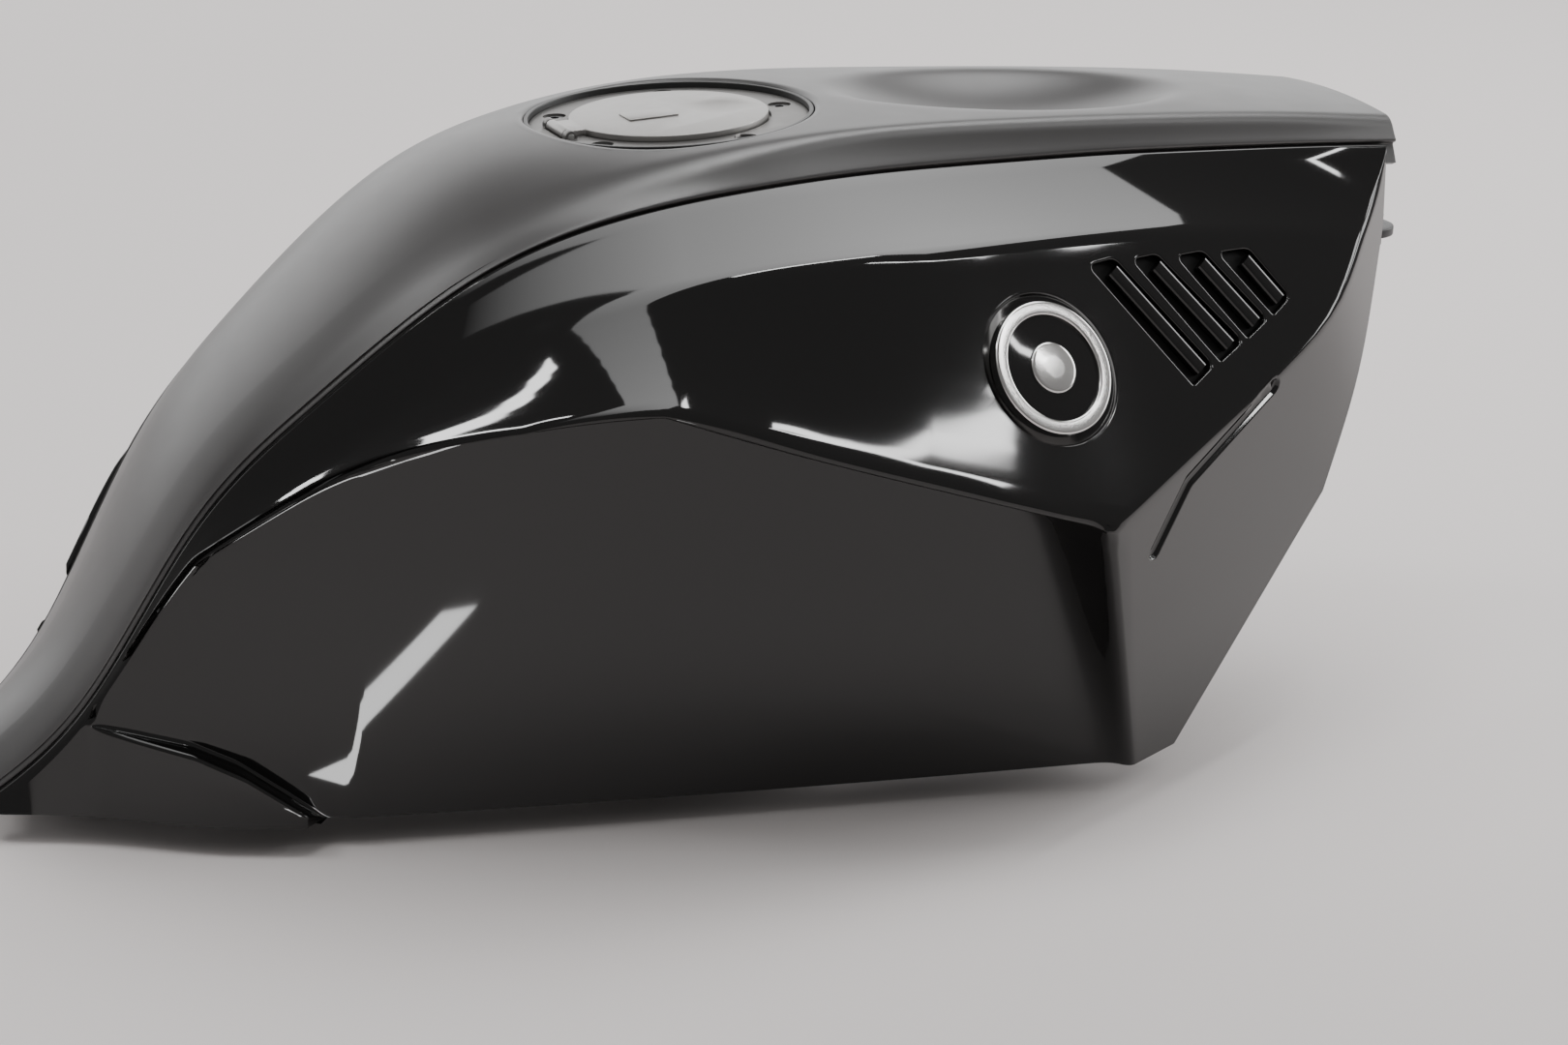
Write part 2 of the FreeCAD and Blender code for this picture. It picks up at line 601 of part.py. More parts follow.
def build_pads():
    """Rubber pads that seat the covers on the tank."""
    pads = {}
    gap = form(TOP_WALL).cut(form(TANK_IN))
    for name, x in TOP_PADS:
        pads["top_pad_" + name] = gap.common(cylinder(PAD_R, 100.0, FAR, x))
    gap = form(COVER_WALL + LIP_PLAY).cut(form(TANK_IN))
    x, z = SIDE_PAD
    pad = gap.common(across(PAD_R, -FAR, 0.0, x, z))
    pads["side_pad_right"] = pad
    pads["side_pad_left"] = mirrored(pad)
    return pads


def main():
    os.makedirs("parts", exist_ok=True)
    top, side = build_covers()
    plate, bush, sleeve = build_front_mount()
    pairs = {
        "side_cover": side,
        "vent_insert": build_vent(),
        "badge": build_badge(),
        "front_bracket": plate,
        "front_bush": bush,
        "front_sleeve": sleeve,
    }
    nodes = {"tank": build_tank(), "filler_neck": build_neck(), "top_cover": top}
    nodes["cap_surround"] = build_surround()
    for name, shape in pairs.items():
        nodes[name + "_right"] = shape
        nodes[name + "_left"] = mirrored(shape)
    nodes.update(build_cap())
    nodes["rear_bracket"] = build_rear_bracket()
    nodes.update(build_pump())
    for name, y in (("breather_nipple", NIPPLE_Y), ("drain_nipple", -NIPPLE_Y)):
        nodes[name] = tube(NIPPLE_R, NIPPLE_BORE_R, TANK_LOW - NIPPLE_DROP, TANK_LOW, NIPPLE_X, y)
    nodes.update(build_pads())
    for name, shape in nodes.items():
        solid = sorted(shape.Solids, key=lambda s: s.Volume)[-1]
        print(name, len(shape.Solids), solid.isValid(), round(solid.Volume / 1000.0, 1))
        solid.exportStep(os.path.join("parts", name + ".step"))


main()
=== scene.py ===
"""Looks of a sport motorcycle's fuel tank with its covers, vents, badges and filler cap.

The tables are in millimetres, in the frame of the part: +X to the front, +Y to
the rider's left, +Z up.  Widths are half widths, and cap sizes are measured from
the flange's top face along the cap's own axis.
"""

import json
import math
from contextlib import contextmanager

import bmesh
import bpy
import numpy as np
from mathutils import Matrix, Vector
from mathutils.bvhtree import BVHTree


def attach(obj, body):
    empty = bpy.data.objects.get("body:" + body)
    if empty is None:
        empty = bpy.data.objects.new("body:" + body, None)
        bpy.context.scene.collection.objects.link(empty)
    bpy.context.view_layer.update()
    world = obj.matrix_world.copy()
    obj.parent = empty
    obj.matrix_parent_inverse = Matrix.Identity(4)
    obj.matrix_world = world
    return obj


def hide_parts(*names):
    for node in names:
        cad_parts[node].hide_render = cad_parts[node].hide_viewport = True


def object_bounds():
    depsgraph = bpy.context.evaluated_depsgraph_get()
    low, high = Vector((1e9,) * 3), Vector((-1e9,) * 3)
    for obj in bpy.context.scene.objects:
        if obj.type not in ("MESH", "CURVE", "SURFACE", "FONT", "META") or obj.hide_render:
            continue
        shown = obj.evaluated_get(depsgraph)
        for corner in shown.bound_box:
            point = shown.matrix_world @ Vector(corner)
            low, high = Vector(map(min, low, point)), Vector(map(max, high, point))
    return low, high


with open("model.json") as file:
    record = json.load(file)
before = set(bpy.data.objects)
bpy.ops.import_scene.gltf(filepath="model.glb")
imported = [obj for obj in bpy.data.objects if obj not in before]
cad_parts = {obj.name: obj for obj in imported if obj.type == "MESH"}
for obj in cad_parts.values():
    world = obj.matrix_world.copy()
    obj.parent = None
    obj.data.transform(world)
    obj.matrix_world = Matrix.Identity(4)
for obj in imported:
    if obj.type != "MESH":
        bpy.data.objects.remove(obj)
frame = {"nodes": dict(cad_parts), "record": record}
CAD_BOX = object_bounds()

bl_info = {
    "name": "Motorcycle Fuel Tank",
    "version": (1, 0, 0),
    "blender": (4, 5, 0),
    "location": "View3D > Sidebar > Fuel Tank",
    "description": "Covers, vents, badges, filler cap and stage of a sport motorcycle's fuel tank",
    "category": "Object",
}

MM = 0.001
# Distance in millimetres within which points are one.
MERGE = 0.002
# Angles in degrees past which an edge is shaded sharp.
SHARP = 40.0
CUT_SHARP = 30.0
TURNED_SHARP = 35.0
RIM_SHARP = 50.0

# Most of a side's length that a rounded corner takes, and most of a line's length that its bow rises.
CORNER_MOST = 0.45
BOW_MOST = 0.03

# Sections of the covers: x, crown z, shoulder w z, seam w z, crease w z, belly w z, base w.
FORM = [
    (-40.0, 18.0, 30.0, 10.0, 38.0, 4.0, 40.0, 1.0, 43.0, -4.0, 46.0),
    (0.0, 60.0, 38.0, 51.0, 48.0, 45.0, 51.0, 43.0, 55.0, 34.0, 62.0),
    (40.0, 134.0, 47.0, 123.0, 59.0, 115.0, 67.0, 109.0, 76.0, 100.0, 84.0),
    (85.0, 190.0, 57.0, 177.0, 70.0, 166.0, 79.0, 147.0, 101.0, 134.0, 95.0),
    (150.0, 246.0, 67.0, 231.0, 83.0, 220.0, 102.0, 194.0, 135.0, 169.0, 118.0),
    (205.0, 265.0, 75.0, 254.0, 89.0, 243.0, 119.0, 219.0, 163.0, 181.0, 140.0),
    (260.0, 269.5, 76.0, 266.0, 88.0, 252.0, 127.0, 229.0, 177.0, 165.0, 152.0),
    (320.0, 273.0, 70.0, 271.0, 79.0, 255.0, 124.0, 231.0, 180.0, 146.0, 168.0),
    (390.0, 274.5, 64.0, 271.0, 71.0, 255.5, 110.0, 230.0, 178.0, 126.0, 178.0),
    (440.0, 274.0, 61.0, 270.0, 67.0, 255.5, 101.0, 228.5, 170.0, 122.0, 173.0),
    (490.0, 272.0, 57.5, 268.5, 63.5, 254.5, 92.0, 225.0, 161.0, 117.0, 166.0),
    (540.0, 269.0, 54.0, 266.0, 60.0, 253.0, 84.0, 220.0, 155.0, 111.0, 162.0),
    (590.0, 265.0, 50.0, 262.0, 57.0, 251.0, 76.0, 214.0, 150.0, 104.0, 160.0),
]
BASE_Z = -60.0
# Two planes of the front facet, each by three points: x, w and z. Its edge is rounded over no
# more than FACET_MOST of a row's length.
FACETS = [
    ((391.0, 179.0, 125.0), (537.0, 105.0, 191.0), (443.0, 130.0, 5.0)),
    ((537.0, 105.0, 191.0), (584.0, 58.0, 252.0), (562.0, 88.0, 128.0)),
]
FACET_BLEND = 4.0
FACET_MOST = 0.4
# Front edge of the side covers in side view, x and z, from the bottom up, and the
# height on the facet's rear edge that runs to the trim's lower corner.
TRIM_LOW = [(464.6, 0.0), (552.0, 99.0)]
TRIM_HIGH = [(552.0, 99.0), (584.0, 215.0), (584.0, 252.0)]
TRIM_TOP = TRIM_HIGH[-1]
CORNER_Z = 125.0

# Stations: the first and last, where the side covers' finer columns end, and how far back a
# front facet can reach.
REAR_X = -40.0
FRONT_X = 590.0
FINE_X = 30.0
FACET_X = 380.0
SIDE_STEP = 2.0
# Stations of the top cover, finer along the bowl: from, to and step.
TOP_SPANS = [(REAR_X, 330.0, 4.0), (330.0, 520.0, 2.5), (520.0, FRONT_X + 0.1, 5.0)]
# The shoulder's edge grows softer to the rear of this station, by its rounding over this length.
SHOULDER_X = 330.0
SHOULDER_LENGTH = 130.0

# Knee recess: roof line and flare line in side view, x and z.
ROOF_REAR = (1.0, 38.0)
ROOF_HEEL = (20.0, 88.0)
ROOF_TOP = (108.0, 153.0)
ROOF_KINK = (203.0, 181.0)
ROOF_FRONT = (394.0, 123.0)
FLARE = [(1.0, 38.0), (37.0, 30.0), (55.0, 22.0), (74.0, 9.0), (92.0, -4.0)]
FLARE_END = (78.0, 88.0)
# Knee recess: least drop of the roof below the crease, most depth for each mm of its height, and
# the reach of its corners.
ROOF_DROP = 2.0
DEPTH_GROWTH = 3.0
ROOF_ROUND = 9.0
FLARE_ROUND = 2.5
# Knee recess: x and half width of the wall's plan points at two levels.
WALL_TOP_Z = 190.0
WALL_LOW_Z = -20.0
WALL_TOP = [(-80.0, 19.0), (100.0, 88.0), (220.0, 124.0), (346.2, 150.0), (391.0, 260.0)]
WALL_LOW = [(-80.0, 26.0), (100.0, 90.0), (270.0, 110.0), (440.0, 125.0), (495.0, 260.0)]
WALL_BLEND = 7.0

# Bowl ahead of the cap: centre, half length, rim z, depth, axis above the rim.
BOWL_X = 424.0
BOWL_HALF = 85.0
BOWL_RIM_Z = 274.0
BOWL_DEPTH = 17.0
BOWL_AXIS_UP = 62.0
BOWL_BLEND = 1.6

# Seam between the top cover and the side covers.
SEAM_GAP = 1.5
SEAM_TUCK = 3.2
SEAM_LIP = 9.0
LIP_ROUND = 1.3
LIP_INNER_ROUND = 0.8
BAND_RISE = 0.5

# Louvre slots, pocket and badge on the right, x and z in side view.
SLOTS = [
    [(407.7, 219.1), (421.5, 220.5), (462.5, 176.3), (449.7, 170.2)],
    [(430.7, 219.3), (444.1, 220.0), (481.3, 183.4), (466.9, 177.2)],
    [(454.4, 218.4), (469.3, 218.8), (497.2, 190.1), (484.3, 184.1)],
    [(477.4, 217.6), (494.6, 217.5), (512.0, 197.2), (501.1, 191.2)],
]
SLOT_ROUND = (1.5, 6.0, 2.5, 1.5)
POCKET = [(424.0, 106.0), (441.0, 134.0), (495.0, 164.0)]
POCKET_WIDTH = 6.5
BADGE_POS = (378.0, 184.0)
BADGE_R = 28.7
BADGE_GAP = 3.8
BADGE_HIGH = 3.0
BADGE_RING = 6.0
BADGE_DISC_HIGH = 1.5
BADGE_LOW = -1.5
BOSS = [(11.0, 0.5), (11.0, 2.4), (10.0, 2.9), (5.0, 3.15), (0.0, 3.2)]

# Louvre blades: how far each side of a slot is moved in, and a blade's share of the slot's ends.
BLADE_IN = (4.0, 0.3, 2.5, 3.0)
BLADE_SHARES = (0.78, 0.92)
BLADE_POINTS = 12
VENT_PLATE = [(397.0, 226.0), (502.0, 226.0), (521.0, 195.0), (450.0, 161.0)]
VENT_PLATE_SINK = 3.4
VENT_PLATE_WALL = 1.6

# Rolled edges of openings: how far out along the cover, and how far above it. Their cuts grow by
# the last three values, so that the rolled edge covers the cut.
SLOT_EDGE = [(1.6, -0.04), (1.1, 0.03), (0.6, -0.05), (0.15, -0.4), (0.0, -1.0), (-0.05, -3.6)]
POCKET_EDGE = [
    (1.6, -0.04), (1.1, 0.03), (0.6, -0.05), (0.1, -0.5), (-0.2, -1.5), (-0.8, -1.9), (-4.3, -2.0),
]
DISH_EDGE = [
    (1.8, -0.04), (1.2, 0.03), (0.6, -0.08), (0.1, -0.5), (-0.1, -1.3), (-0.6, -1.8), (-8.0, -1.8),
]
HOLE_EDGE = [
    (4.4, -0.05), (3.4, 0.03), (2.2, -0.03), (1.0, -0.42), (0.3, -1.2), (0.0, -2.4), (0.0, -9.0),
]
OPENING_GROW = 0.75
DISH_GROW = 0.8
HOLE_GROW = 2.6

# Rays and cuts cross the right half of the part from outside, towards the rider's left.
INWARD = (0.0, 1.0, 0.0)
FAR_Y = -300.0
CUT_Y = (-250.0, -60.0)

# Filler cap.
CAP_POS = (262.0, 0.0, 268.0)
CAP_TILT = 4.6
CAP_SINK = 3.5
HOLE_R = 62.0
SURROUND_R = (59.8, 61.7)
SURROUND_Z = (-5.0, 2.5)
SCREW_HEAD_R = 4.2
SCREW_HEAD_HIGH = 2.6
SCREW_SOCKET_R = 2.1
SCREW_Z = -2.1

# Edges of the CAD pieces: flatter than the first angle they dissolve, past the second they are eased.
FLAT_ANGLE = 0.8
EASE_ANGLE = 28.0
# Width of the ease on the cap's pieces, and on the fittings.
FLANGE_EASE = 0.35
LID_EASE = 0.9
FLAP_EASE = 0.3
EASED = [
    ("rear_bracket", 0.5), ("front_bracket_right", 0.5), ("front_bracket_left", 0.5), ("pump_flange", 0.6),
    ("pump_connector", 0.4), ("fuel_outlet", 0.4), ("breather_nipple", 0.3), ("drain_nipple", 0.3),
    ("lock_body", 0.4), ("hinge_pin", 0.3),
]

# Soft lights: the ends of each panel's middle line in metres, its width, its glow,
# the share of the glow left at the first end, and where the panel faces.
DOWN = (0.0, 0.0, -1.0)
LIGHTS = [
    ("back_panel", (-2.6, 3.0, 1.3), (3.4, 3.0, 1.3), 2.2, 1.9, 1.0, (0.0, -0.93, -0.37)),
    ("band_panel", (0.347, 0.021, 2.4), (2.011, 1.131, 2.4), 0.65, 4.8, 1.0, DOWN),
    ("band_panel_front", (1.678, 0.098, 2.4), (2.386, 0.57, 2.4), 0.7, 4.8, 1.0, DOWN),
    ("band_panel_rear", (-2.066, -1.589, 2.4), (0.347, 0.021, 2.4), 0.65, 4.8, 0.02, DOWN),
    ("crease_tube", (0.447, -0.4, 2.4), (1.487, 0.294, 2.4), 0.08, 30.0, 1.0, DOWN),
    ("rear_tube", (-1.84, 0.8, 2.4), (-1.2, -0.22, 2.4), 0.13, 30.0, 1.0, DOWN),
    ("side_tube_rear", (1.6, -0.85, 2.4), (2.1, -1.3, 2.4), 0.07, 30.0, 1.0, DOWN),
    ("side_tube", (2.1, -1.3, 2.4), (2.69, -1.65, 2.4), 0.07, 30.0, 1.0, DOWN),
    ("side_tube_front", (2.69, -1.65, 2.4), (3.2, -1.72, 2.4), 0.08, 30.0, 1.0, DOWN),
    ("front_tube", (3.2, -0.9, 0.5), (3.2, -0.9, 1.5), 0.3, 8.0, 1.0, (-1.0, 0.3, 0.0)),
    ("front_panel", (3.2, -0.6, 1.25), (3.2, 1.2, 1.25), 1.3, 6.0, 1.0, (-1.0, 0.0, 0.0)),
    ("floor_strip", (0.117, -0.33, -0.009), (0.062, -0.145, -0.009), 0.02, 16.0, 1.0, (0.0, 0.0, 1.0)),
]
# Floor in metres: how far under the part, and half its side.
FLOOR_GAP = 0.001
FLOOR_HALF = 12.0
WORLD_COLOUR = (0.95, 0.93, 0.92, 1.0)

# Camera fitted to the photo: place in millimetres, angles in degrees, focal length in pixels.
CAMERA_POS = (-252.6, -1324.7, 547.8)
CAMERA_AZIMUTH = -23.5
CAMERA_ELEVATION = 18.0
CAMERA_ROLL = 2.4
CAMERA_FOCAL = 3500.0
IMAGE_WIDTH = 1620.0
SENSOR_WIDTH = 36.0


class Spline:
    """Smooth curve through the rows of a table, over the first column."""

    def __init__(self, rows):
        table = np.array(rows, float)
        self.x, self.y = table[:, 0], table[:, 1:]
        h = np.diff(self.x)[:, None]
        slope = np.diff(self.y, axis=0) / h
        n = len(table)
        left = np.eye(n)
        right = np.zeros_like(self.y)
        for i in range(1, n - 1):
            left[i, i - 1:i + 2] = h[i - 1, 0], 2 * (h[i - 1, 0] + h[i, 0]), h[i, 0]
            right[i] = 6 * (slope[i] - slope[i - 1])
        self.bend = np.linalg.solve(left, right)

    def __call__(self, x):
        i = int(np.clip(np.searchsorted(self.x, x) - 1, 0, len(self.x) - 2))
        h = self.x[i + 1] - self.x[i]
        a = (self.x[i + 1] - x) / h
        b = 1 - a
        bent = (a ** 3 - a) * self.bend[i] + (b ** 3 - b) * self.bend[i + 1]
        return a * self.y[i] + b * self.y[i + 1] + bent * h * h / 6


def circle_through(a, b, c):
    """Centre and radius of the circle through three points of a plane."""
    (ax, ay), (bx, by), (cx, cy) = a, b, c
    d = 2 * (ax * (by - cy) + bx * (cy - ay) + cx * (ay - by))
    sa, sb, sc = ax * ax + ay * ay, bx * bx + by * by, cx * cx + cy * cy
    x = (sa * (by - cy) + sb * (cy - ay) + sc * (ay - by)) / d
    y = (sa * (cx - bx) + sb * (ax - cx) + sc * (bx - ax)) / d
    return x, y, math.hypot(ax - x, ay - y)


def arc_at(a, b, c, x):
    """Height at x of the arc through three points."""
    cx, cy, r = circle_through(a, b, c)
    rise = math.sqrt(max(r * r - (x - cx) ** 2, 0.0))
    return cy + rise if b[1] > cy else cy - rise


def line_at(a, b, x):
    """Height at x of the line through two points."""
    return a[1] + (b[1] - a[1]) * (x - a[0]) / (b[0] - a[0])


def soft_min(a, b, k):
    """Smaller of two values, blended where they differ by about k."""
    return -k * np.logaddexp(-a / k, -b / k)


def soft_max(a, b, k):
    """Larger of two values, blended where they differ by about k."""
    return k * np.logaddexp(a / k, b / k)


def along(points, spots):
    """Points at the given lengths along a path."""
    points = np.asarray(points, float)
    steps = np.linalg.norm(np.diff(points, axis=0), axis=1)
    run = np.concatenate([[0.0], np.cumsum(steps)])
    return np.stack([np.interp(spots, run, column) for column in points.T], axis=-1)


def path_length(points):
    """Length of a path."""
    return float(np.linalg.norm(np.diff(np.asarray(points, float), axis=0), axis=1).sum())


def corner(a, b, c, count):
    """Points of a rounded corner from a to c under b, without its ends."""
    t = np.linspace(0, 1, count + 2)[1:-1, None]
    return (1 - t) ** 2 * a + 2 * t * (1 - t) * b + t ** 2 * c


def joined(paths, reaches, counts, corners):
    """Points along the paths, with each corner between them rounded over its reach."""
    rows = []
    last_end = None
    for i, (path, count) in enumerate(zip(paths, counts)):
        length = path_length(path)
        start = min(reaches[i - 1], CORNER_MOST * length) if i else 0.0
        stop = length - (min(reaches[i], CORNER_MOST * length) if i < len(paths) - 1 else 0.0)
        spots = along(path, np.linspace(start, stop, count))
        if last_end is not None:
            rows.append(corner(last_end, np.asarray(path[0], float), spots[0], corners[i - 1]))
        rows.append(spots)
        last_end = spots[-1]
    return np.concatenate(rows)


def bowed(a, b, rise, count=9):
    """Slightly convex line from a to b, rising to the left of its direction."""
    a, b = np.array(a, float), np.array(b, float)
    t = np.linspace(0, 1, count)[:, None]
    run = b - a
    most = BOW_MOST * np.linalg.norm(run)
    rise = min(max(rise, -most), most)
    side = np.array([-run[1], run[0]]) / max(np.linalg.norm(run), 1e-6)
    return a + run * t + side * (4 * rise * t * (1 - t))


form_at = Spline(FORM)


def roof_z(x):
    """Height of the knee recess's roof."""
    if x < ROOF_REAR[0]:
        return ROOF_REAR[1]
    if x < ROOF_HEEL[0]:
        return line_at(ROOF_REAR, ROOF_HEEL, x)
    if x < ROOF_KINK[0]:
        return arc_at(ROOF_HEEL, ROOF_TOP, ROOF_KINK, x)
    return line_at(ROOF_KINK, ROOF_FRONT, x)


def flare_z(x):
    """Height of the knee recess's flare, which is its lower end at the rear."""
    xs, zs = zip(*FLARE)
    return max(float(np.interp(x, xs, zs)), 0.0)


def wall_w(x, z):
    """Half width of the knee recess's wall."""
    t = (z - WALL_LOW_Z) / (WALL_TOP_Z - WALL_LOW_Z)
    p = [(a[0] + (b[0] - a[0]) * t, a[1] + (b[1] - a[1]) * t) for a, b in zip(WALL_LOW, WALL_TOP)]
    back = line_at(p[0], p[1], x) if x < p[1][0] else arc_at(p[1], p[2], p[3], x)
    return soft_max(back, line_at(p[3], p[4], x), WALL_BLEND)


def side_section(x, soft):
    """Rows of the side cover at one station, from the seam to the bottom: w and z."""
    form = form_at(x)
    seam, crease, belly = form[3:5], form[5:7], form[7:9]
    roof = min(roof_z(x), crease[1] - ROOF_DROP)
    flare = min(flare_z(x), roof)

    def side_at(z):
        """Half width of the cover as it would be without the recess."""
        if z > belly[1]:
            return line_at(belly[::-1], crease[::-1], z)
        return line_at((BASE_Z, form[9]), belly[::-1], z)

    def wall_at(z):
        """Half width of the recess's wall, eased where the recess is low."""
        deepest = side_at(z) - DEPTH_GROWTH * (roof - flare)
        return min(side_at(z), max(wall_w(x, z), deepest))

    edge = (side_at(roof), roof)
    upper = bowed(crease, edge, -soft.side_bow)
    if roof < belly[1]:
        upper = np.concatenate([bowed(crease, belly, -soft.side_bow), [edge]])
    share = float(np.interp(x, FLARE_END, (1.0, 0.0)))
    ledge, floor = [(wall_at(z) + (side_at(z) - wall_at(z)) * share, z) for z in (flare, 0.0)]
    wall = [(wall_at(z), z) for z in np.linspace(roof, flare, 15)]
    run = crease - seam
    inward = np.array([run[1], -run[0]]) / np.linalg.norm(run)
    paths = [
        [seam + inward * SEAM_TUCK, seam],
        bowed(seam, crease, -soft.band_bow),
        upper,
        [edge, wall[0]],
        wall,
        [wall[-1], ledge],
        [ledge, floor],
    ]
    reaches = [LIP_ROUND, soft.crease_round, soft.edge_round, ROOF_ROUND, FLARE_ROUND, FLARE_ROUND]
    return joined(paths, reaches, [3, 8, 18, 5, 16, 3, 4], [3, 7, 7, 5, 3, 3])


def facet_planes():
    """Width over x and z of each facet plane, as w = p + q x + r z."""
    planes = []
    for points in FACETS:
        left = np.array([(1.0, x, z) for x, w, z in points])
        planes.append(np.linalg.solve(left, np.array([w for x, w, z in points])))
    return planes


FACET_PLANES = facet_planes()


def facet_w(x, z):
    """Half width of the front facet, its two planes blended."""
    (p0, q0, r0), (p1, q1, r1) = FACET_PLANES
    return soft_min(p0 + q0 * x + r0 * z, p1 + q1 * x + r1 * z, FACET_BLEND)


def trim_point(path, share):
    """Point at a share of a path's length."""
    return along(path, [share * path_length(path)])[0]


def facet_start(stations, w, z):
    """Station at which one row of a side cover, given as w and z at the stations, meets the facet."""
    out = (w > facet_w(stations, z)) & (stations > FACET_X)
    if not out.any():
        return TRIM_TOP[0]
    i = int(np.argmax(out))
    before, after = [w[j] - facet_w(stations[j], z[j]) for j in (i - 1, i)]
    meet = stations[i - 1] - (stations[i] - stations[i - 1]) * before / (after - before)
    return min(meet, TRIM_TOP[0])


def facet_end(z):
    """Point of the front edge where the facet's row ends that starts at a height."""
    if z >= CORNER_Z:
        return trim_point(TRIM_HIGH, min((z - CORNER_Z) / (TRIM_TOP[1] - CORNER_Z), 1.0))
    return trim_point(TRIM_LOW, max(z / CORNER_Z, 0.0))


def side_grid(soft):
    """Grid of the right side cover's outer surface: rows from the seam down, columns to the front."""
    stations = np.arange(REAR_X, FRONT_X + 0.1, SIDE_STEP)
    table = np.array([side_section(x, soft) for x in stations])
    rear = np.linspace(REAR_X, FINE_X, 41)[:-1]
    grid = []
    for k in range(table.shape[1]):
        w, z = table[:, k, 0], table[:, k, 1]
        x = facet_start(stations, w, z)
        tip = np.array([x, np.interp(x, stations, w), np.interp(x, stations, z)])
        end = facet_end(tip[2])
        length = math.hypot(end[0] - x, end[1] - tip[2])
        reach = min(soft.facet_round, FACET_MOST * length)
        xs = np.concatenate([rear, np.linspace(FINE_X, x - reach, 190)])
        main = np.stack([xs, np.interp(xs, stations, w), np.interp(xs, stations, z)], -1)
        share = np.linspace(min(reach / max(length, 1e-6), FACET_MOST), 1.0, 16)
        fx = x + (end[0] - x) * share
        fz = tip[2] + (end[1] - tip[2]) * share
        facet = np.stack([fx, facet_w(fx, fz), fz], -1)
        if length < 1.0:
            facet[:] = tip
        grid.append(np.concatenate([main, corner(main[-1], tip, facet[0], 5), facet]))
    return np.array(grid) * (1, -1, 1)


def bowl_z(x, y):
    """Height of the bowl's flank, or high above where there is none."""
    radius = (BOWL_HALF ** 2 + BOWL_DEPTH ** 2) / (2 * BOWL_DEPTH)
    off = x - BOWL_X
    if abs(off) > 2 * BOWL_HALF - 10:
        return 1e3
    low = BOWL_RIM_Z - BOWL_DEPTH + radius - math.sqrt(radius ** 2 - off ** 2)
    axis = BOWL_RIM_Z + BOWL_AXIS_UP
    across = axis - low
    if abs(y) > across - 5:
        return 1e3
    return axis - math.sqrt(across ** 2 - y * y)


def top_section(x, soft):
    """Rows of the top cover at one station, from the middle to the lip: w and z."""
    form = form_at(x)
    crown, shoulder, seam, crease = form[0], form[1:3], form[3:5], form[5:7]
    _, mid, radius = circle_through((-shoulder[0], shoulder[1]), (0.0, crown), tuple(shoulder))
    arc = []
    for y in np.linspace(0, shoulder[0], 41):
        z = mid + math.sqrt(radius ** 2 - y * y)
        arc.append((y, float(soft_min(z, bowl_z(x, y), BOWL_BLEND))))
    run = crease - seam
    down = run / np.linalg.norm(run)
    inward = np.array([down[1], -down[0]])
    band = seam - shoulder
    band_end = seam - band / np.linalg.norm(band) * SEAM_GAP
    tuck = band_end + inward * SEAM_TUCK
    paths = [arc, bowed(arc[-1], band_end, -BAND_RISE), [band_end, tuck], [tuck, tuck + down * SEAM_LIP]]
    rounding = soft.shoulder_round * (1.0 + max(0.0, (SHOULDER_X - x) / SHOULDER_LENGTH))
    return joined(paths, [rounding, LIP_ROUND, LIP_INNER_ROUND], [24, 6, 3, 4], [5, 3, 2])


def top_grid(soft):
    """Grid of the top cover's outer surface, rows from the right lip to the left one."""
    xs = np.concatenate([np.arange(*span) for span in TOP_SPANS])
    half = np.array([top_section(x, soft) for x in xs])
    right = np.stack([np.repeat(xs[:, None], half.shape[1], 1), -half[:, :, 0], half[:, :, 1]], -1)
    left = right * (1, -1, 1)
    return np.concatenate([right[:, ::-1], left[:, 1:]], axis=1).transpose(1, 0, 2)


def grid_faces(rows, cols, closed=False, flip=False):
    """Quads over a grid of points, whose rows may close on themselves."""
    faces = []
    for i in range(rows - 1):
        for j in range(cols if closed else cols - 1):
            k = (j + 1) % cols
            quad = (i * cols + j, (i + 1) * cols + j, (i + 1) * cols + k, i * cols + k)
            faces.append(quad[::-1] if flip else quad)
    return faces


def add_object(name, data):
    """New object of the scene for a mesh, a light or a camera."""
    obj = bpy.data.objects.new(name, data)
    bpy.context.scene.collection.objects.link(obj)
    return obj


@contextmanager
def edited(mesh):
    """Opens a mesh as a bmesh and writes it back."""
    bm = bmesh.new()
    bm.from_mesh(mesh)
    yield bm
    bm.to_mesh(mesh)
    bm.free()


def make_object(name, points, faces, material, sharp=SHARP):
    """Mesh object from points in millimetres, its doubles merged and its shading smooth."""
    mesh = bpy.data.meshes.new(name)
    mesh.from_pydata([tuple(p) for p in np.asarray(points, float) * MM], [], faces)
    with edited(mesh) as bm:
        bmesh.ops.remove_doubles(bm, verts=bm.verts, dist=MERGE * MM)
        bmesh.ops.dissolve_degenerate(bm, edges=bm.edges, dist=MERGE * MM)
    obj = add_object(name, mesh)
    mesh.materials.append(material)
    shade(obj, sharp)
    return obj


def shade(obj, sharp):
    """Smooth shading, apart from edges over an angle in degrees."""
    mesh = obj.data
    mesh.polygons.foreach_set("use_smooth", [True] * len(mesh.polygons))
    mesh.set_sharp_from_angle(angle=math.radians(sharp))


def grid_object(name, grid, material, closed=False, flip=False, sharp=SHARP):
    """Mesh object over a grid of points."""
    rows, cols = grid.shape[:2]
    return make_object(name, grid.reshape(-1, 3), grid_faces(rows, cols, closed, flip), material, sharp)


def settle(obj, sharp=SHARP):
    """Turns what the modifiers make into the object's own mesh."""
    graph = bpy.context.evaluated_depsgraph_get()
    mesh = bpy.data.meshes.new_from_object(obj.evaluated_get(graph), depsgraph=graph)
    obj.modifiers.clear()
    old = obj.data
    obj.data = mesh
    mesh.name = obj.name
    bpy.data.meshes.remove(old)
    shade(obj, sharp)
    return obj


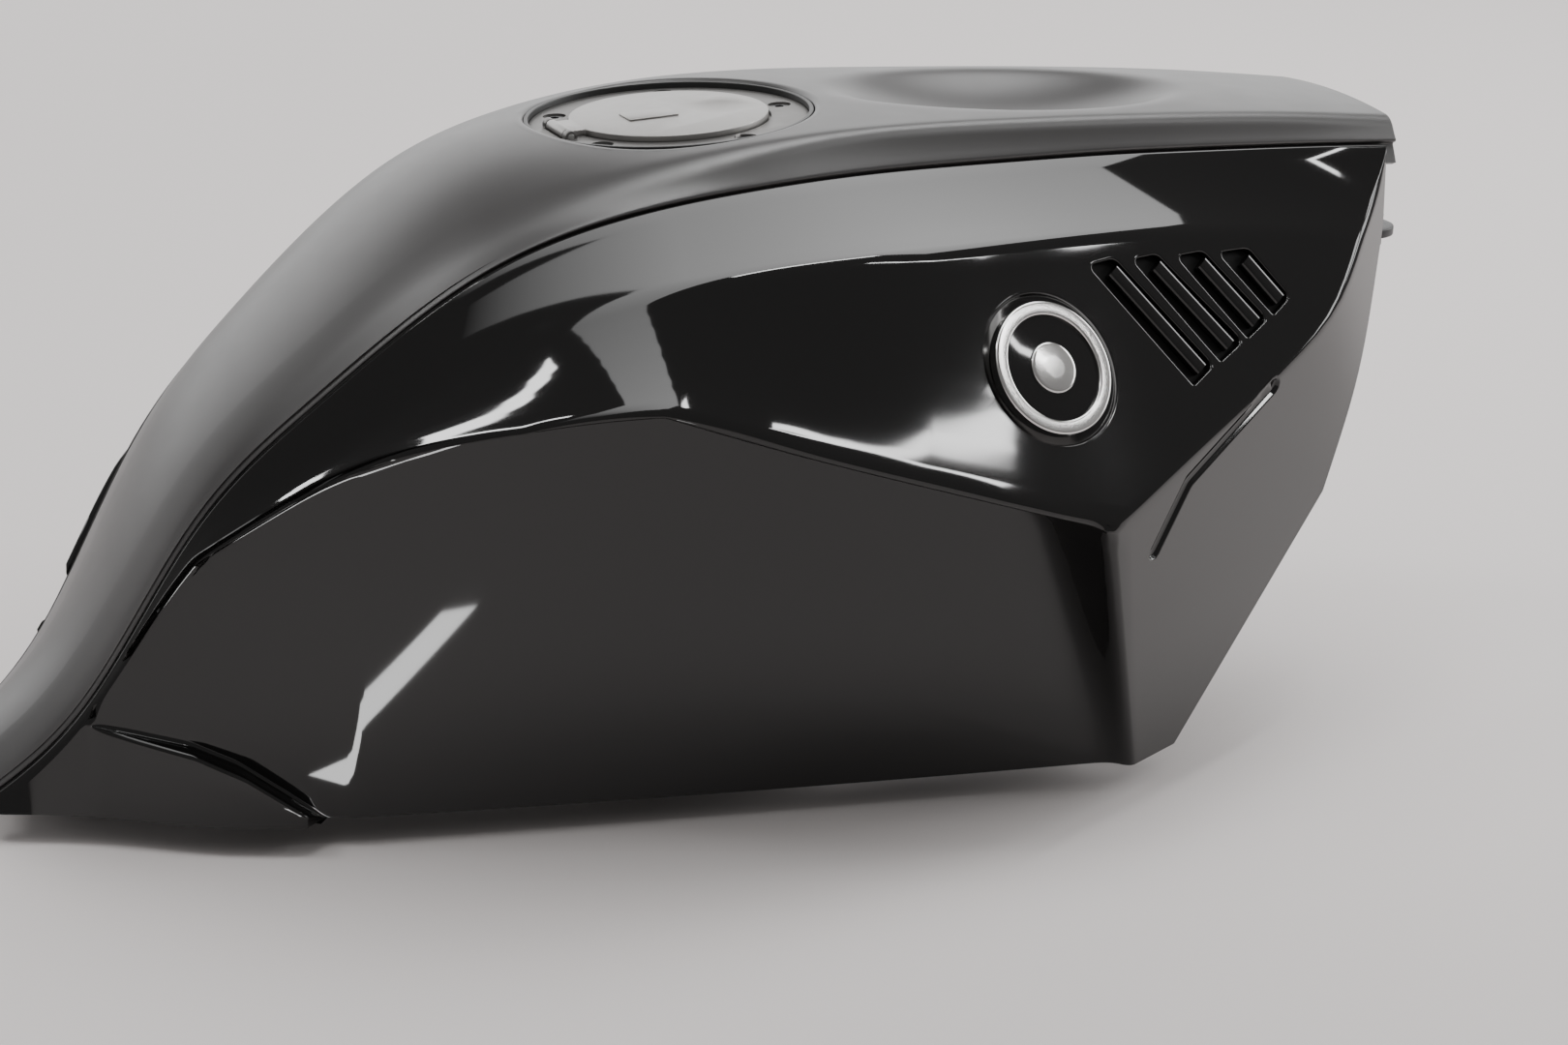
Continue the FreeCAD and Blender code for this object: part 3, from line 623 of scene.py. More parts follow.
def thicken(obj, wall):
    """Gives a surface a wall on its inner side."""
    modifier = obj.modifiers.new("wall", "SOLIDIFY")
    modifier.thickness = wall * MM
    modifier.offset = -1.0
    return settle(obj)


def cut(obj, cutters):
    """Cuts closed objects out of obj and removes them."""
    for cutter in cutters:
        modifier = obj.modifiers.new("cut", "BOOLEAN")
        modifier.operation = "DIFFERENCE"
        modifier.solver = "EXACT"
        modifier.object = cutter
    settle(obj, CUT_SHARP)
    for cutter in cutters:
        bpy.data.objects.remove(cutter)
    return obj


def join(name, objects):
    """One object from several, by joining their meshes."""
    bm = bmesh.new()
    materials = []
    for obj in objects:
        for material in obj.data.materials:
            if material not in materials:
                materials.append(material)
        start = len(bm.faces)
        bm.from_mesh(obj.data)
        bm.faces.ensure_lookup_table()
        for face in bm.faces[start:]:
            face.material_index = materials.index(obj.data.materials[face.material_index])
    mesh = bpy.data.meshes.new(name)
    bm.to_mesh(mesh)
    bm.free()
    for material in materials:
        mesh.materials.append(material)
    for obj in objects:
        bpy.data.objects.remove(obj)
    return add_object(name, mesh)


def mirror_copy(obj, name):
    """Copy of an object on the other side of the plane of symmetry."""
    mesh = obj.data.copy()
    mesh.transform(Matrix.Scale(-1, 4, Vector((0, 1, 0))))
    mesh.flip_normals()
    return add_object(name, mesh)


def cap_frame():
    """Placement of the cap's own axes, in metres."""
    middle = Matrix.Translation(Vector(CAP_POS) * MM)
    tilt = Matrix.Rotation(math.radians(-CAP_TILT), 4, "Y")
    return middle @ tilt @ Matrix.Translation((0, 0, -CAP_SINK * MM))


def place(obj, matrix):
    """Moves an object's mesh, so that the object itself stays at the origin."""
    obj.data.transform(matrix)
    return obj


def turn_outward(obj):
    """Points the faces of a closed mesh outwards."""
    with edited(obj.data) as bm:
        bmesh.ops.recalc_face_normals(bm, faces=bm.faces)
    return obj


def lathe(name, profile, material, count=128):
    """Closed ring or disc turned about Z from r and z points, from outside inwards over the top."""
    angles = np.linspace(0, 2 * math.pi, count, endpoint=False)
    rings = [np.stack([r * np.cos(angles), r * np.sin(angles), np.full(count, z)], -1) for r, z in profile]
    obj = turn_outward(grid_object(name, np.array(rings), material, closed=True, sharp=TURNED_SHARP))
    shade(obj, TURNED_SHARP)
    return obj


def plug(name, radius, low, high, count=128):
    """Closed cylinder about Z, for a cut."""
    return lathe(name, [(radius, low), (radius, high), (0.0, high), (0.0, low), (radius, low)], None, count)


def circle_points(matrix, radius, height, count):
    """Points in millimetres of a circle about the Z axis of a placement, at a height on it."""
    angles = np.linspace(0, 2 * math.pi, count, endpoint=False)
    spots = [Vector((radius * math.cos(a), radius * math.sin(a), height)) for a in angles]
    return [matrix @ (spot * MM) / MM for spot in spots]


def rounded_profile(points, reach, steps=3):
    """Profile with each inner point rounded over the reach."""
    points = [np.array(p, float) for p in points]
    rows = [points[0]]
    for a, b, c in zip(points[:-2], points[1:-1], points[2:]):
        la, lc = np.linalg.norm(a - b), np.linalg.norm(c - b)
        p = b + (a - b) * min(reach / la, CORNER_MOST)
        q = b + (c - b) * min(reach / lc, CORNER_MOST)
        rows += [p, *corner(p, b, q, steps), q]
    rows.append(points[-1])
    return [tuple(r) for r in rows]


def surface_of(grid):
    """Tree of a grid's faces, to cast rays at."""
    rows, cols = grid.shape[:2]
    points = [Vector(p) for p in grid.reshape(-1, 3)]
    return BVHTree.FromPolygons(points, grid_faces(rows, cols))


def from_right(spots):
    """Starts of rays towards the left for places in side view, x and z."""
    return [(x, FAR_Y, z) for x, z in spots]


def land(tree, origins, direction=INWARD):
    """Points and outward normals where rays from the origins meet the surface."""
    points, normals = [], []
    d = Vector(direction)
    for o in origins:
        hit, normal, *_ = tree.ray_cast(Vector(o), d)
        if hit is None:
            hit, normal, *_ = tree.find_nearest(Vector(o))
        if normal.dot(d) > 0:
            normal = -normal
        points.append(hit)
        normals.append(normal)
    return np.array(points), np.array(normals)


def rim(name, tree, origins, profile, material, direction=INWARD):
    """Strip along a closed outline on a surface, with its profile as in the tables of edges."""
    points, normals = land(tree, origins, direction)
    run = np.roll(points, -1, 0) - np.roll(points, 1, 0)
    out = np.cross(run, normals)
    out /= np.linalg.norm(out, axis=1)[:, None]
    if ((points - points.mean(0)) * out).sum() < 0:
        out = -out
    grid = np.array([points + a * out + h * normals for a, h in profile])
    obj = grid_object(name, grid, material, closed=True, sharp=RIM_SHARP)
    with edited(obj.data) as bm:
        bm.faces.ensure_lookup_table()
        if bm.faces[0].normal.dot(Vector(normals[0])) < 0:
            bmesh.ops.reverse_faces(bm, faces=bm.faces)
    shade(obj, RIM_SHARP)
    return obj


def inset(corners, gaps):
    """Clockwise polygon in side view with each side moved inward by its gap."""
    sides = []
    for i, gap in enumerate(gaps):
        a, b = np.array(corners[i]), np.array(corners[(i + 1) % len(corners)])
        d = (b - a) / np.linalg.norm(b - a)
        sides.append((a + np.array([d[1], -d[0]]) * gap, d))
    moved = []
    for (a, u), (b, v) in zip(sides[-1:] + sides[:-1], sides):
        off = b - a
        moved.append(a + u * (off[0] * v[1] - off[1] * v[0]) / (u[0] * v[1] - u[1] * v[0]))
    return moved


def rounded_outline(corners, radii, step=0.8):
    """Closed outline through a polygon's corners, each rounded by its radius."""
    points = [np.array(p, float) for p in corners]
    ring = []
    for i, radius in enumerate(radii):
        a, b, c = points[i - 1], points[i], points[(i + 1) % len(points)]
        u, v = (a - b) / np.linalg.norm(a - b), (c - b) / np.linalg.norm(c - b)
        half = math.acos(float(u @ v)) / 2
        middle = b + (u + v) / np.linalg.norm(u + v) * radius / math.sin(half)
        start, stop = [d * radius / math.tan(half) + b - middle for d in (u, v)]
        turn = math.pi - 2 * half
        ring += [middle + (start * math.sin(turn - t) + stop * math.sin(t)) / math.sin(turn)
                 for t in np.linspace(0, turn, 9)]
    ring.append(ring[0])
    count = int(path_length(ring) / step)
    return along(ring, np.linspace(0, path_length(ring), count, endpoint=False))


def bar_outline(points, width, start, stop, step=2.0):
    """Closed outline of a bar along the points, each end with its corner radius and its reach."""
    p = [np.array(q, float) for q in points]
    half = width / 2
    runs = [(b - a) / np.linalg.norm(b - a) for a, b in zip(p[:-1], p[1:])]

    def left(d):
        return np.array([-d[1], d[0]])

    def cap(q, d, end):
        radius, reach = end
        n = left(d)
        middle = q + d * (reach - radius)
        turn = np.linspace(0, math.pi / 2, 7)[:, None]
        first = middle + n * (half - radius) + radius * (n * np.cos(turn) + d * np.sin(turn))
        second = middle - n * (half - radius) + radius * (d * np.cos(turn) - n * np.sin(turn))
        return list(first) + list(second)

    bends = []
    for a, b, q in zip(runs[:-1], runs[1:], p[1:-1]):
        n = left(a) + left(b)
        bends.append((q, n / (n @ left(a)) * half))
    ring = cap(p[-1], runs[-1], stop)
    ring += [q - n for q, n in bends[::-1]]
    ring += cap(p[0], -runs[0], start)
    ring += [q + n for q, n in bends]
    ring.append(ring[0])
    count = int(path_length(ring) / step)
    return along(ring, np.linspace(0, path_length(ring), count, endpoint=False))


def opening_cutter(name, outline):
    """Closed prism across the cover over an outline in side view, grown a little."""
    ring = np.array(outline)
    run = np.roll(ring, -1, 0) - np.roll(ring, 1, 0)
    out = np.stack([run[:, 1], -run[:, 0]], -1)
    out /= np.linalg.norm(out, axis=1)[:, None]
    if ((ring - ring.mean(0)) * out).sum() < 0:
        out = -out
    ring = ring + out * OPENING_GROW
    n = len(ring)
    points = [(x, y, z) for y in CUT_Y for x, z in ring]
    faces = [tuple(range(n)), tuple(range(2 * n - 1, n - 1, -1))]
    faces += [(j, n + j, n + (j + 1) % n, (j + 1) % n) for j in range(n)]
    return turn_outward(make_object(name, points, faces, None))


def softened(node, width, material, segments=2):
    """Copy of a CAD node with its edges eased."""
    mesh = frame["nodes"][node].data.copy()
    with edited(mesh) as bm:
        bmesh.ops.remove_doubles(bm, verts=bm.verts, dist=MERGE * MM)
        bmesh.ops.dissolve_limit(bm, angle_limit=math.radians(FLAT_ANGLE), verts=bm.verts, edges=bm.edges)
    mesh.materials.clear()
    mesh.materials.append(material)
    obj = add_object(node + "_skin", mesh)
    bevel = obj.modifiers.new("ease", "BEVEL")
    bevel.width = width * MM
    bevel.segments = segments
    bevel.limit_method = "ANGLE"
    bevel.angle_limit = math.radians(EASE_ANGLE)
    bevel.use_clamp_overlap = True
    return settle(obj, TURNED_SHARP)


def fit(obj, body, slot, *nodes):
    """Keeps an object inside the CAD box and names its body and the nodes it stands for; its slot is not
    used.
    """
    for vertex in obj.data.vertices:
        vertex.co = [min(max(c, low), high) for c, low, high in zip(vertex.co, *CAD_BOX)]
    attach(obj, body)
    if nodes:
        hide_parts(*nodes)
    return obj


def fit_both(right, slot, stem):
    """Fits a right piece and its mirrored copy on the left, both named after a stem."""
    left = mirror_copy(right, stem + "_left_skin")
    fit(right, "tank", slot, stem + "_right")
    fit(left, "tank", slot, stem + "_left")


class Value:
    """A socket or number in shader maths."""

    def __init__(self, tree, socket):
        self.tree = tree
        self.socket = socket

    def math(self, operation, other):
        node = self.tree.nodes.new("ShaderNodeMath")
        node.operation = operation
        for i, v in enumerate((self, other)):
            if isinstance(v, Value):
                self.tree.links.new(v.socket, node.inputs[i])
            else:
                node.inputs[i].default_value = v
        return Value(self.tree, node.outputs[0])

    def __add__(self, other):
        return self.math("ADD", other)

    def __mul__(self, other):
        return self.math("MULTIPLY", other)

    __radd__ = __add__
    __rmul__ = __mul__


class Finish:
    """A material with its Principled shader and a way to add nodes."""

    def __init__(self, name, colour, rough, metal=0.0, specular=0.5):
        self.material = bpy.data.materials.new(name)
        self.material.use_nodes = True
        self.tree = self.material.node_tree
        self.shader = self.tree.nodes["Principled BSDF"]
        values = {
            "Base Color": (*colour, 1.0),
            "Roughness": rough,
            "Metallic": metal,
            "Specular IOR Level": specular,
        }
        for key, value in values.items():
            self.shader.inputs[key].default_value = value

    def node(self, kind, settings=None, **sockets):
        node = self.tree.nodes.new(kind)
        for key, value in (settings or {}).items():
            setattr(node, key, value)
        for key, value in sockets.items():
            socket = node.inputs[key.replace("_", " ")]
            if isinstance(value, Value):
                self.tree.links.new(value.socket, socket)
            else:
                socket.default_value = value
        return node

    def out(self, node, name):
        return Value(self.tree, node.outputs[name])

    def noise(self, scale, detail):
        where = self.out(self.node("ShaderNodeTexCoord"), "Object")
        return self.out(self.node("ShaderNodeTexNoise", Vector=where, Scale=scale, Detail=detail), "Fac")

    def bump(self, height, strength, distance):
        node = self.node("ShaderNodeBump", Height=height, Strength=strength, Distance=distance)
        self.tree.links.new(node.outputs["Normal"], self.shader.inputs["Normal"])

    def drive(self, name, value):
        self.tree.links.new(value.socket, self.shader.inputs[name])


FINISHES = {}


def make_finishes(looks):
    """Makes every material of the part."""
    # Name, colour, roughness, metal and specular level; then the noise that drives the roughness, by
    # its least, spread, scale and detail, and the grain's noise, by scale, detail, strength and depth.
    rows = [
        ("gloss_black", looks.gloss_colour, 0.045, 0.0, 0.55, (0.03, 0.03, 18.0, 2.0), None),
        ("satin_black", looks.satin_colour, 0.38, 0.0, 1.0,
         (0.35, 0.06, 60.0, 3.0), (5200.0, 1.0, 0.05, 1e-4)),
        ("steel_black", (0.02, 0.02, 0.021), 0.4, 0.0, 0.5,
         (0.32, 0.2, 35.0, 4.0), (1400.0, 2.0, 0.12, 2e-4)),
        ("black_plastic", (0.018, 0.018, 0.018), 0.42, 0.0, 0.5, None, (3800.0, 2.0, 0.2, 1e-4)),
        # The vent plate's black plastic, darker and duller than black_plastic: painted shade in the louvre
        # slots' depths.
        ("painted_shade_plastic", (0.006, 0.006, 0.006), 0.6, 0.0, 0.15, None, None),
        ("cap_aluminium", looks.lid_colour, 0.42, 1.0, 0.5,
         (0.38, 0.1, 220.0, 4.0), (6500.0, 1.0, 0.08, 5e-5)),
        ("cap_flange", looks.flange_colour, 0.45, 1.0, 0.5, (0.42, 0.1, 220.0, 4.0), None),
        ("bright_steel", (0.62, 0.62, 0.61), 0.28, 1.0, 0.5, (0.22, 0.14, 120.0, 4.0), None),
        ("chrome", (0.66, 0.65, 0.64), 0.16, 1.0, 0.5, None, None),
        ("rubber", (0.022, 0.022, 0.022), 0.75, 0.0, 0.35, None, (2500.0, 2.0, 0.2, 1e-4)),
        ("dark_screw", (0.03, 0.03, 0.032), 0.3, 0.6, 0.5, None, None),
    ]
    for name, colour, rough, metal, specular, haze, grain in rows:
        finish = FINISHES[name] = Finish(name, colour, rough, metal, specular)
        if haze:
            least, spread, scale, detail = haze
            finish.drive("Roughness", least + finish.noise(scale, detail) * spread)
        if grain:
            scale, detail, strength, depth = grain
            finish.bump(finish.noise(scale, detail), strength, depth)


def finish_of(name):
    """Material of a finish; the first call makes them all."""
    if not FINISHES:
        make_finishes(bpy.context.scene.tank_looks)
    return FINISHES[name].material


class LooksSettings(bpy.types.PropertyGroup):
    gloss_colour: bpy.props.FloatVectorProperty(
        name="Gloss colour", description="Base colour of the side covers",
        default=(0.004, 0.0038, 0.0038), subtype="COLOR")
    satin_colour: bpy.props.FloatVectorProperty(
        name="Satin colour", description="Base colour of the top cover",
        default=(0.03, 0.028, 0.028), subtype="COLOR")
    lid_colour: bpy.props.FloatVectorProperty(
        name="Lid colour", description="Base colour of the cap's lid",
        default=(0.4, 0.39, 0.38), subtype="COLOR")
    flange_colour: bpy.props.FloatVectorProperty(
        name="Flange colour", description="Base colour of the cap's flange",
        default=(0.22, 0.215, 0.21), subtype="COLOR")
    shoulder_round: bpy.props.FloatProperty(
        name="Shoulder rounding", description="Reach of the top cover's front shoulder edge in mm",
        default=5.0, min=1.0)
    crease_round: bpy.props.FloatProperty(
        name="Crease rounding", description="Reach of the side covers' upper crease in mm",
        default=4.0, min=1.0)
    edge_round: bpy.props.FloatProperty(
        name="Recess edge rounding", description="Reach of the edge above the knee recess in mm",
        default=7.0, min=1.0)
    facet_round: bpy.props.FloatProperty(
        name="Facet edge rounding", description="Reach of the edge round the front facet in mm",
        default=3.5, min=1.0)
    band_bow: bpy.props.FloatProperty(
        name="Band bow", description="Rise of the band above the crease in mm", default=1.0)
    side_bow: bpy.props.FloatProperty(
        name="Side bow", description="Rise of the side below the crease in mm", default=1.5)
    blade_width: bpy.props.FloatProperty(
        name="Blade width", description="Width of a louvre blade in mm", default=7.0, min=1.0)
    blade_depth: bpy.props.FloatProperty(
        name="Blade depth", description="Depth of a louvre blade in mm", default=5.2, min=1.0)
    blade_round: bpy.props.FloatProperty(
        name="Blade rounding", description="Radius of a louvre blade's edges in mm",
        default=2.0, min=0.1)
    blade_rise: bpy.props.FloatProperty(
        name="Blade rise", description="How far the blades stand out of the cover in mm", default=1.0)
    blade_tilt: bpy.props.FloatProperty(
        name="Blade tilt", description="Turn of the blades about their own line",
        default=math.radians(-46.0), subtype="ANGLE")
    wall: bpy.props.FloatProperty(
        name="Cover wall", description="Wall of the covers in mm", default=2.8, min=0.5)


class CapSettings(bpy.types.PropertyGroup):
    screw_count: bpy.props.IntProperty(
        name="Screws", description="Number of screws round the flange", default=5, min=3)
    screw_pitch: bpy.props.FloatProperty(
        name="Screw pitch radius", description="Radius of the screws' circle in mm", default=50.8)
    screw_radius: bpy.props.FloatProperty(
        name="Counterbore radius", description="Radius of each counterbore in mm", default=5.0)
    screw_sink: bpy.props.FloatProperty(
        name="Counterbore depth", description="Depth of each counterbore in mm", default=3.4)


class StageSettings(bpy.types.PropertyGroup):
    floor_colour: bpy.props.FloatVectorProperty(
        name="Floor colour", description="Colour of the floor", subtype="COLOR", default=(0.78, 0.74, 0.73))
    brightness: bpy.props.FloatProperty(
        name="Brightness", description="Factor on the glow of all lights", default=1.0, min=0.0)
    world: bpy.props.FloatProperty(
        name="Surroundings", description="Brightness of the surroundings", default=0.27, min=0.0)


class TANK_OT_top_cover(bpy.types.Operator):
    """Satin top cover with its shoulders, seam lip, bowl and rolled cap hole"""

    bl_idname = "tank.top_cover"
    bl_label = "Top cover"

    def execute(self, context):
        looks = context.scene.tank_looks
        grid = top_grid(looks)
        satin = finish_of("satin_black")
        cover = grid_object("top_cover_skin", grid, satin, flip=True)
        thicken(cover, looks.wall)
        matrix = cap_frame()
        cut(cover, [place(plug("hole_cutter", HOLE_R + HOLE_GROW, -60.0, 60.0), matrix)])
        down = -matrix.to_3x3().col[2]
        spots = circle_points(matrix, HOLE_R, 50.0, 160)
        edge = rim("cap_hole_edge", surface_of(grid), spots, HOLE_EDGE, satin, down)
        fit(join("top_cover_skin_full", [cover, edge]), "tank", "satin_black", "top_cover")
        return {"FINISHED"}


class TANK_OT_side_covers(bpy.types.Operator):
    """Gloss side covers with knee recess, front facet, louvre slots and badge recess"""

    bl_idname = "tank.side_covers"
    bl_label = "Side covers"

    def execute(self, context):
        looks = context.scene.tank_looks
        grid = side_grid(looks)
        gloss = finish_of("gloss_black")
        cover = grid_object("side_cover_skin_right", grid, gloss)
        thicken(cover, looks.wall)
        tree = surface_of(grid)
        openings = [("slot", rounded_outline(slot, SLOT_ROUND), SLOT_EDGE) for slot in SLOTS]
        pocket_end = (POCKET_WIDTH / 2, POCKET_WIDTH / 2)
        openings.append(("pocket", bar_outline(POCKET, POCKET_WIDTH, pocket_end, pocket_end), POCKET_EDGE))
        pieces = []
        cutters = []
        for name, outline, edge in openings:
            cutters.append(opening_cutter(name + "_cutter", outline))
            pieces.append(rim(name + "_edge", tree, from_right(outline), edge, gloss))
        matrix = badge_frame(tree)
        dish_r = BADGE_R + BADGE_GAP
        spots = circle_points(matrix, dish_r, 60.0, 96)
        pieces.append(rim("badge_dish", tree, spots, DISH_EDGE, gloss, -matrix.to_3x3().col[2]))
        cutters.append(place(plug("badge_cutter", dish_r + DISH_GROW, -30.0, 30.0), matrix))
        cut(cover, cutters)
        right = join("side_cover_right_skin", [cover, *pieces])
        fit_both(right, "gloss_black", "side_cover")
        return {"FINISHED"}


def badge_frame(tree):
    """Placement of the right badge on the side cover, in metres."""
    points, normals = land(tree, from_right([BADGE_POS]))
    n = Vector(normals[0]).normalized()
    x = Vector((1, 0, 0))
    x = (x - n * x.dot(n)).normalized()
    y = n.cross(x)
    matrix = Matrix((x, y, n)).transposed().to_4x4()
    matrix.translation = Vector(points[0]) * MM
    return matrix


class TANK_OT_badges(bpy.types.Operator):
    """Plain round chrome badges in the recesses of the side covers"""

    bl_idname = "tank.badges"
    bl_label = "Badges"

    def execute(self, context):
        tree = surface_of(side_grid(context.scene.tank_looks))
        chrome = finish_of("chrome")
        r, low, high = BADGE_R, BADGE_LOW, BADGE_HIGH
        inner = r - BADGE_RING
        disc_r = inner + 0.2
        ring = [(r, low), (r, high - 0.6), (r - 0.8, high), (inner + 0.7, high), (inner, high - 0.6)]
        ring = rounded_profile(ring + [(inner, low), (r, low)], 0.5)
        disc = rounded_profile([(disc_r, low), (disc_r, BADGE_DISC_HIGH), (0.0, BADGE_DISC_HIGH)], 0.3)
        disc += [(0.0, low), (disc_r, low)]
        boss = rounded_profile(BOSS, 0.5) + [(0.0, BOSS[0][1]), BOSS[0]]
        right = join("badge_right_skin", [
            lathe("badge_ring", ring, chrome),
            lathe("badge_disc", disc, finish_of("gloss_black")),
            lathe("badge_boss", boss, chrome),
        ])
        place(right, badge_frame(tree))
        fit_both(right, "chrome", "badge")
        return {"FINISHED"}


def new_tree(name, **inputs):
    """Geometry Nodes tree with named inputs, and its input node."""
    tree = bpy.data.node_groups.new(name, "GeometryNodeTree")
    for label, kind in inputs.items():
        label = label.replace("_", " ")
        tree.interface.new_socket(name=label, in_out="INPUT", socket_type="NodeSocket" + kind)
    tree.interface.new_socket(name="Geometry", in_out="OUTPUT", socket_type="NodeSocketGeometry")
    return tree, tree.nodes.new("NodeGroupInput")


def link_all(tree, rows):
    """Links each row's output to its input: node, output, node, input."""
    for source, output, target, name in rows:
        tree.links.new(source.outputs[output], target.inputs[name])


def end_tree(tree, given, last, output):
    """Realizes what the last node gives, paints it and puts it out."""
    realize = tree.nodes.new("GeometryNodeRealizeInstances")
    paint = tree.nodes.new("GeometryNodeSetMaterial")
    result = tree.nodes.new("NodeGroupOutput")
    link_all(tree, [
        (last, output, realize, "Geometry"),
        (realize, "Geometry", paint, "Geometry"),
        (given, "Material", paint, "Material"),
        (paint, "Geometry", result, "Geometry"),
    ])
    return tree


def blade_tree():
    """Geometry Nodes that sweep a rounded blade along each edge path of a mesh."""
    tree, given = new_tree(
        "louvre_blades", Paths="Geometry", Width="Float", Depth="Float", Rounding="Float", Tilt="Float",
        Material="Material")
    curves = tree.nodes.new("GeometryNodeMeshToCurve")
    upright = tree.nodes.new("GeometryNodeSetCurveNormal")
    upright.mode = "Z_UP"
    lean = tree.nodes.new("GeometryNodeSetCurveTilt")
    size = tree.nodes.new("GeometryNodeInputNamedAttribute")
    size.data_type = "FLOAT"
    size.inputs["Name"].default_value = "size"
    widen = tree.nodes.new("GeometryNodeSetCurveRadius")
    box = tree.nodes.new("GeometryNodeCurvePrimitiveQuadrilateral")
    fillet = tree.nodes.new("GeometryNodeFilletCurve")
    fillet.mode = "POLY"
    fillet.inputs["Count"].default_value = 5
    sweep = tree.nodes.new("GeometryNodeCurveToMesh")
    sweep.inputs["Fill Caps"].default_value = True
    link_all(tree, [
        (given, "Paths", curves, "Mesh"),
        (curves, "Curve", upright, "Curve"),
        (upright, "Curve", lean, "Curve"),
        (given, "Tilt", lean, "Tilt"),
        (lean, "Curve", widen, "Curve"),
        (size, "Attribute", widen, "Radius"),
        (given, "Width", box, "Height"),
        (given, "Depth", box, "Width"),
        (box, "Curve", fillet, "Curve"),
        (given, "Rounding", fillet, "Radius"),
        (widen, "Curve", sweep, "Curve"),
        (fillet, "Curve", sweep, "Profile Curve"),
    ])
    return end_tree(tree, given, sweep, "Mesh")


def evaluate(obj, tree, values):
    """Runs a Geometry Nodes tree on an object with its inputs given by name."""
    modifier = obj.modifiers.new(tree.name, "NODES")
    modifier.node_group = tree
    for item in tree.interface.items_tree:
        if item.in_out == "INPUT" and item.name in values:
            modifier[item.identifier] = values[item.name]
    return settle(obj, TURNED_SHARP)


def blade_paths(tree, looks):
    """Points and edges of the blades' middle lines, and the blades' size at each point."""
    points, edges, sizes = [], [], []
    shares = np.linspace(0, 1, BLADE_POINTS)
    for slot in SLOTS:
        upper_rear, upper_front, lower_front, lower_rear = inset(slot, BLADE_IN)
        top, bottom = (upper_rear + upper_front) / 2, (lower_front + lower_rear) / 2
        ends = [np.linalg.norm(upper_front - upper_rear), np.linalg.norm(lower_front - lower_rear)]
        widths = [end * share / looks.blade_width for end, share in zip(ends, BLADE_SHARES)]
        start = len(points)
        hits, outs = land(tree, from_right(top + (bottom - top) * t for t in shares))
        points += list(hits - outs * (looks.blade_depth / 2 - looks.blade_rise))
        edges += [(start + i, start + i + 1) for i in range(BLADE_POINTS - 1)]
        sizes += list(np.interp(shares, (0, 1), widths))
    return points, edges, sizes


class TANK_OT_vents(bpy.types.Operator):
    """Vent inserts: a plate behind the louvre slots, darkened as painted shade, with a rounded blade in
    each
    """

    bl_idname = "tank.vents"
    bl_label = "Vent inserts"

    def execute(self, context):
        looks = context.scene.tank_looks
        tree = surface_of(side_grid(looks))
        across = np.linspace(0, 1, 41)[None, :, None]
        down = np.linspace(0, 1, 25)[:, None, None]
        a, b, c, d = [np.array(p) for p in VENT_PLATE]
        spots = (a * (1 - across) + b * across) * (1 - down) + (d * (1 - across) + c * across) * down
        hits, outs = land(tree, from_right(spots.reshape(-1, 2)))
        grid = (hits - outs * VENT_PLATE_SINK).reshape(*spots.shape[:2], 3)
        # The plate is the insert's black plastic, drawn darker and duller as painted shade in the slots.
        plate = grid_object("vent_plate", grid, finish_of("painted_shade_plastic"))
        thicken(plate, VENT_PLATE_WALL)
        points, edges, sizes = blade_paths(tree, looks)
        mesh = bpy.data.meshes.new("louvre_blades")
        mesh.from_pydata([tuple(p) for p in np.array(points) * MM], edges, [])
        mesh.attributes.new("size", "FLOAT", "POINT").data.foreach_set("value", sizes)
        blades = add_object("louvre_blades", mesh)
        evaluate(blades, blade_tree(), {
            "Width": looks.blade_width * MM,
            "Depth": looks.blade_depth * MM,
            "Rounding": looks.blade_round * MM,
            "Tilt": looks.blade_tilt,
            "Material": finish_of("gloss_black"),
        })
        right = join("vent_insert_right_skin", [plate, blades])
        fit_both(right, "black_plastic", "vent_insert")
        return {"FINISHED"}


class TANK_OT_filler_cap(bpy.types.Operator):
    """Ring, flange, lid and key flap of the filler cap"""

    bl_idname = "tank.filler_cap"
    bl_label = "Filler cap"

    def execute(self, context):
        cap = context.scene.tank_cap
        matrix = cap_frame()
        flange = softened("cap_flange", FLANGE_EASE, finish_of("cap_flange"))
        cutters = []
        for i in range(cap.screw_count):
            tool = plug("bore", cap.screw_radius, -cap.screw_sink, 5.0, 40)
            turn = Matrix.Rotation(2 * math.pi * i / cap.screw_count, 4, "Z")
            cutters.append(place(tool, matrix @ turn @ Matrix.Translation((cap.screw_pitch * MM, 0, 0))))
        cut(flange, cutters)
        fit(flange, "tank", "cap_aluminium", "cap_flange")
        (inner, outer), (low, high) = SURROUND_R, SURROUND_Z
        profile = [(outer, low), (outer, high), (inner, high), (inner, low), (outer, low)]
        ring = lathe("cap_surround_skin", rounded_profile(profile, 0.5), finish_of("black_plastic"), 160)
        fit(place(ring, matrix), "tank", "black_plastic", "cap_surround")
        aluminium = finish_of("cap_aluminium")
        lid = softened("cap_lid", LID_EASE, aluminium, 3)
        fit(lid, "lid", "cap_aluminium", "cap_lid")
        flap = softened("lock_cover", FLAP_EASE, aluminium)
        fit(flap, "lid", "cap_aluminium", "lock_cover")
        return {"FINISHED"}


